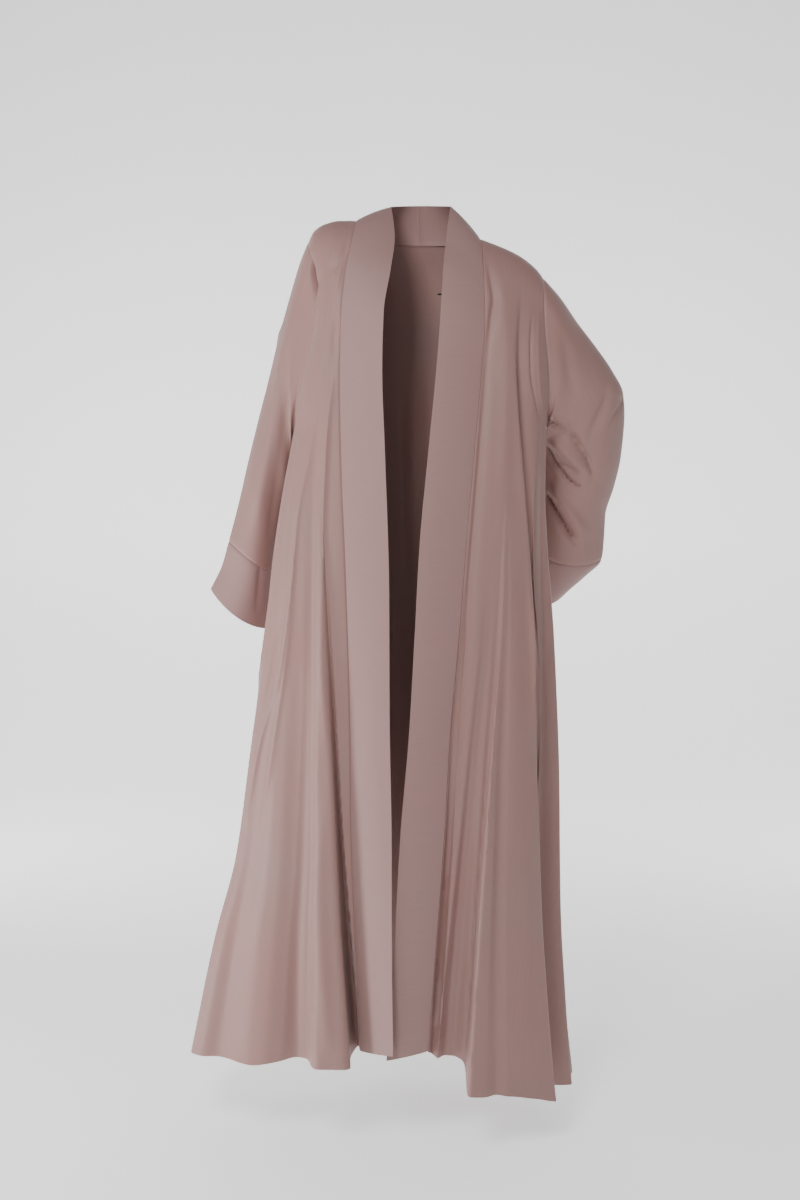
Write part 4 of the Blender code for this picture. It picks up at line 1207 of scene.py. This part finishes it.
def hem_strip(piece, normals, wall, turn):
    """The hem turned up inside, on the rows of its panel that it covers."""
    grid = piece.grid()
    rows = 1 + hem_steps(grid, turn)
    low = normals.reshape(piece.shape)[-rows:]
    turned = grid[-rows:] - (wall + HEM_LIE) * low
    strip = Piece(piece.name + "_hem", turned, False, piece.flipped)
    return thin_shell(strip, low.reshape(-1, 3), wall)


def stitch_row(line, normals, length, gap):
    """Points and faces of raised stitches along a line on the cloth."""
    run = np.concatenate([[0.0], np.cumsum(np.linalg.norm(np.diff(line, axis=0), axis=1))])
    starts = np.arange(gap, run[-1] - length - gap, length + gap)

    def read(values, where):
        return np.stack([np.interp(where, run, values[:, axis]) for axis in range(3)], axis=1)

    first, last = read(line, starts), read(line, starts + length)
    up = read(normals, starts + length / 2.0)
    along = (last - first) / np.linalg.norm(last - first, axis=1, keepdims=True)
    side = np.cross(along, up)
    corners = np.radians(np.arange(0, 360, 360 // STITCH_SIDES))
    points = []
    for share, width in STITCH_SHAPE:
        for corner in corners:
            round_it = math.cos(corner) * side + math.sin(corner) * up
            points.append(first + (last - first) * share + THREAD_RADIUS * width * round_it)
    points = np.stack(points, axis=1).reshape(-1, 3)
    each = len(STITCH_SHAPE) * STITCH_SIDES
    shape = grid_quads(len(STITCH_SHAPE), STITCH_SIDES, True, False).tolist()
    shape += [list(range(STITCH_SIDES - 1, -1, -1)), list(range(each - STITCH_SIDES, each))]
    faces = [[base + corner for corner in face]
             for base in range(0, len(points), each) for face in shape]
    return points, faces


def add_object(name, data):
    """A new object of this data, linked to the scene."""
    made = bpy.data.objects.new(name, data)
    bpy.context.collection.objects.link(made)
    return made


def mesh_object(name, parts, material):
    """One object of several parts, each with its points, faces and cut places."""
    points, faces, places = [], [], []
    for part_points, part_faces, part_places in parts:
        base = sum(len(group) for group in points)
        faces += [[base + corner for corner in face] for face in part_faces]
        points.append(part_points)
        places.append(part_places)
    mesh = bpy.data.meshes.new(name)
    mesh.from_pydata(np.concatenate(points).tolist(), [], faces)
    mesh.update()
    mesh.shade_smooth()
    mesh.set_sharp_from_angle(angle=math.radians(SHARP_ANGLE))
    loops = np.empty(len(mesh.loops), dtype=np.int32)
    mesh.loops.foreach_get("vertex_index", loops)
    layer = mesh.uv_layers.new(name=CUT_LAYER)
    layer.data.foreach_set("uv", np.concatenate(places)[loops].astype(np.float32).ravel())
    mesh.materials.append(material)
    return add_object(name, mesh)


def sew_on(piece_object, node):
    """Ride and replace the frame's node."""
    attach(piece_object, BODY)
    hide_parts(node)


PANELS = ("back", "front_right", "front_left")


def make_cloth(name, scene):
    """One cut piece of cloth as its own object, with its hem turned up if it has one."""
    cut, cloth = scene.abaya_cut, scene.abaya_cloth
    pieces, normals = cloak_pieces(cut.crease_strength)
    doubled = name.startswith(("band", "cuff"))
    wall = cut.band_wall if doubled else cut.wall
    parts = [thin_shell(pieces[name], normals[name], wall)]
    if name in PANELS:
        parts.append(hem_strip(pieces[name], normals[name], wall, cut.hem_turn))
    crepe, slot = (band_crepe, "band_crepe") if doubled else (panel_crepe, "cloak_crepe")
    made = mesh_object(name + "_cloth", parts, crepe(cloth))
    sew_on(made, name)


class ClothStep:
    """What the steps that cut cloth share."""

    pieces = ()

    def execute(self, context):
        for name in self.pieces:
            make_cloth(name, context.scene)
        return {"FINISHED"}


class MESH_OT_abaya_panels(ClothStep, bpy.types.Operator):
    """Cut the back and the two front panels"""

    bl_idname = "mesh.abaya_panels"
    bl_label = "Cut the Panels"
    pieces = PANELS


class MESH_OT_abaya_hem_stitches(bpy.types.Operator):
    """Stitch the hems of the three panels, outside and inside"""

    bl_idname = "mesh.abaya_hem_stitches"
    bl_label = "Stitch the Hems"

    def execute(self, context):
        cut = context.scene.abaya_cut
        pieces, normals = cloak_pieces(cut.crease_strength)
        parts = []
        for name in PANELS:
            piece = pieces[name]
            grid, up = piece.grid(), normals[name].reshape(piece.shape)
            row = -hem_steps(grid, cut.hem_turn - HEM_STITCH_IN)
            under = 2.0 * cut.wall + HEM_LIE
            for line, out in ((grid[row], up[row]), (grid[row] - under * up[row], -up[row])):
                points, faces = stitch_row(line, out, cut.stitch, cut.stitch_gap)
                parts.append((points, faces, points[:, :2]))
        thread = thread_material(context.scene.abaya_cloth.thread)
        stitches = mesh_object("hem_stitches", parts, thread)
        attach(stitches, BODY)
        return {"FINISHED"}


class MESH_OT_abaya_sleeves(ClothStep, bpy.types.Operator):
    """Cut the two sleeves"""

    bl_idname = "mesh.abaya_sleeves"
    bl_label = "Cut the Sleeves"
    pieces = ("sleeve_right", "sleeve_left")


class MESH_OT_abaya_cuffs(ClothStep, bpy.types.Operator):
    """Sew the deep doubled cuffs"""

    bl_idname = "mesh.abaya_cuffs"
    bl_label = "Sew the Cuffs"
    pieces = ("cuff_right", "cuff_left")


class MESH_OT_abaya_bands(ClothStep, bpy.types.Operator):
    """Sew the two interfaced front bands"""

    bl_idname = "mesh.abaya_bands"
    bl_label = "Sew the Bands"
    pieces = ("band_right", "band_left")


class MESH_OT_abaya_hook(bpy.types.Operator):
    """Bend the small front hook"""

    bl_idname = "mesh.abaya_hook"
    bl_label = "Bend the Hook"

    def execute(self, context):
        low, high = (Vector(corner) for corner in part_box("front_hook"))
        curve = bpy.data.curves.new("front_hook_wire", "CURVE")
        curve.dimensions = "3D"
        curve.bevel_depth = HOOK_WIRE_RADIUS
        curve.bevel_resolution = 3
        curve.use_fill_caps = True
        spline = curve.splines.new("POLY")
        width, depth = high.x - low.x, high.y - low.y
        route = smooth_path(HOOK_ROUTE, HOOK_STEPS)
        spline.points.add(len(route) - 1)
        for point, (across, behind) in zip(spline.points, route):
            point.co = (low.x + width * across, low.y + depth * behind, HOOK_HEIGHT, 1.0)
        hook = add_object("front_hook_wire", curve)
        curve.materials.append(hook_material())
        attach(hook, BODY)
        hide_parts("front_hook")
        return {"FINISHED"}


class SCENE_OT_abaya_stage(bpy.types.Operator):
    """Lay the pale floor, hang the lights and set the camera"""

    bl_idname = "scene.abaya_stage"
    bl_label = "Set the Stage"

    def execute(self, context):
        stage = context.scene.abaya_stage
        profile = [(FLOOR_FRONT, 0.0), (FLOOR_BACK, 0.0)]
        for turn in np.radians(np.linspace(90.0 / SWEEP_STEPS, 90.0, SWEEP_STEPS)):
            rise = SWEEP_ROUND - SWEEP_ROUND * math.cos(turn)
            profile.append((FLOOR_BACK + SWEEP_ROUND * math.sin(turn), rise))
        profile.append((FLOOR_BACK + SWEEP_ROUND, WALL_TOP))
        points = [
            (x, y, FLOOR_HEIGHT + z)
            for y, z in profile for x in (-STAGE_HALF_WIDTH, STAGE_HALF_WIDTH)
        ]
        faces = [(2 * k, 2 * k + 1, 2 * k + 3, 2 * k + 2) for k in range(len(profile) - 1)]
        mesh = bpy.data.meshes.new("stage_sweep")
        mesh.from_pydata(points, [], faces)
        mesh.shade_smooth()
        mesh.materials.append(stage_material("backlit_acrylic", "efefef", stage.glow))
        sweep = add_object("stage_sweep", mesh)
        for name, (setting, share, place, size, aim) in LIGHTS.items():
            data = bpy.data.lights.new(name, "AREA")
            data.shape = "RECTANGLE"
            data.size, data.size_y = size
            data.energy = share * getattr(stage, setting)
            light = add_object(name, data)
            light.location = place
            facing = Vector(aim) - Vector(place)
            light.rotation_euler = facing.to_track_quat("-Z", "Y").to_euler()
        world = bpy.data.worlds.new("pale_room")
        world.use_nodes = True
        sky = world.node_tree.nodes["Background"]
        sky.inputs["Color"].default_value = SKY
        sky.inputs["Strength"].default_value = stage.ambient
        context.scene.world = world
        view = bpy.data.cameras.new("picture_camera")
        view.lens = LENS
        view.sensor_width = LONG_SENSOR
        camera = add_object("picture_camera", view)
        camera.location = EYE
        camera.rotation_euler = (math.radians(90.0), 0.0, 0.0)
        context.scene.camera = camera
        return {"FINISHED"}


OPERATORS = (
    MESH_OT_abaya_panels, MESH_OT_abaya_hem_stitches, MESH_OT_abaya_sleeves,
    MESH_OT_abaya_cuffs, MESH_OT_abaya_bands, MESH_OT_abaya_hook, SCENE_OT_abaya_stage,
)


class VIEW3D_PT_abaya(bpy.types.Panel):
    """Settings and steps of the cloak"""

    bl_label = "Abaya Cloak"
    bl_idname = "VIEW3D_PT_abaya"
    bl_space_type = "VIEW_3D"
    bl_region_type = "UI"
    bl_category = "Abaya"

    def draw(self, context):
        for group in ("abaya_cut", "abaya_cloth", "abaya_stage"):
            settings = getattr(context.scene, group)
            box = self.layout.box()
            for name in type(settings).__annotations__:
                box.prop(settings, name)
        for operator in OPERATORS:
            self.layout.operator(operator.bl_idname)


CLASSES = (AbayaCut, AbayaCloth, AbayaStage, *OPERATORS, VIEW3D_PT_abaya)


def register():
    for cls in CLASSES:
        bpy.utils.register_class(cls)
    bpy.types.Scene.abaya_cut = bpy.props.PointerProperty(type=AbayaCut)
    bpy.types.Scene.abaya_cloth = bpy.props.PointerProperty(type=AbayaCloth)
    bpy.types.Scene.abaya_stage = bpy.props.PointerProperty(type=AbayaStage)


def unregister():
    del bpy.types.Scene.abaya_stage
    del bpy.types.Scene.abaya_cloth
    del bpy.types.Scene.abaya_cut
    for cls in reversed(CLASSES):
        bpy.utils.unregister_class(cls)


def main():
    """Make every piece and the stage."""
    register()
    bpy.ops.mesh.abaya_panels()
    bpy.ops.mesh.abaya_hem_stitches()
    bpy.ops.mesh.abaya_sleeves()
    bpy.ops.mesh.abaya_cuffs()
    bpy.ops.mesh.abaya_bands()
    bpy.ops.mesh.abaya_hook()
    bpy.ops.scene.abaya_stage()


if __name__ == "__main__":
    main()
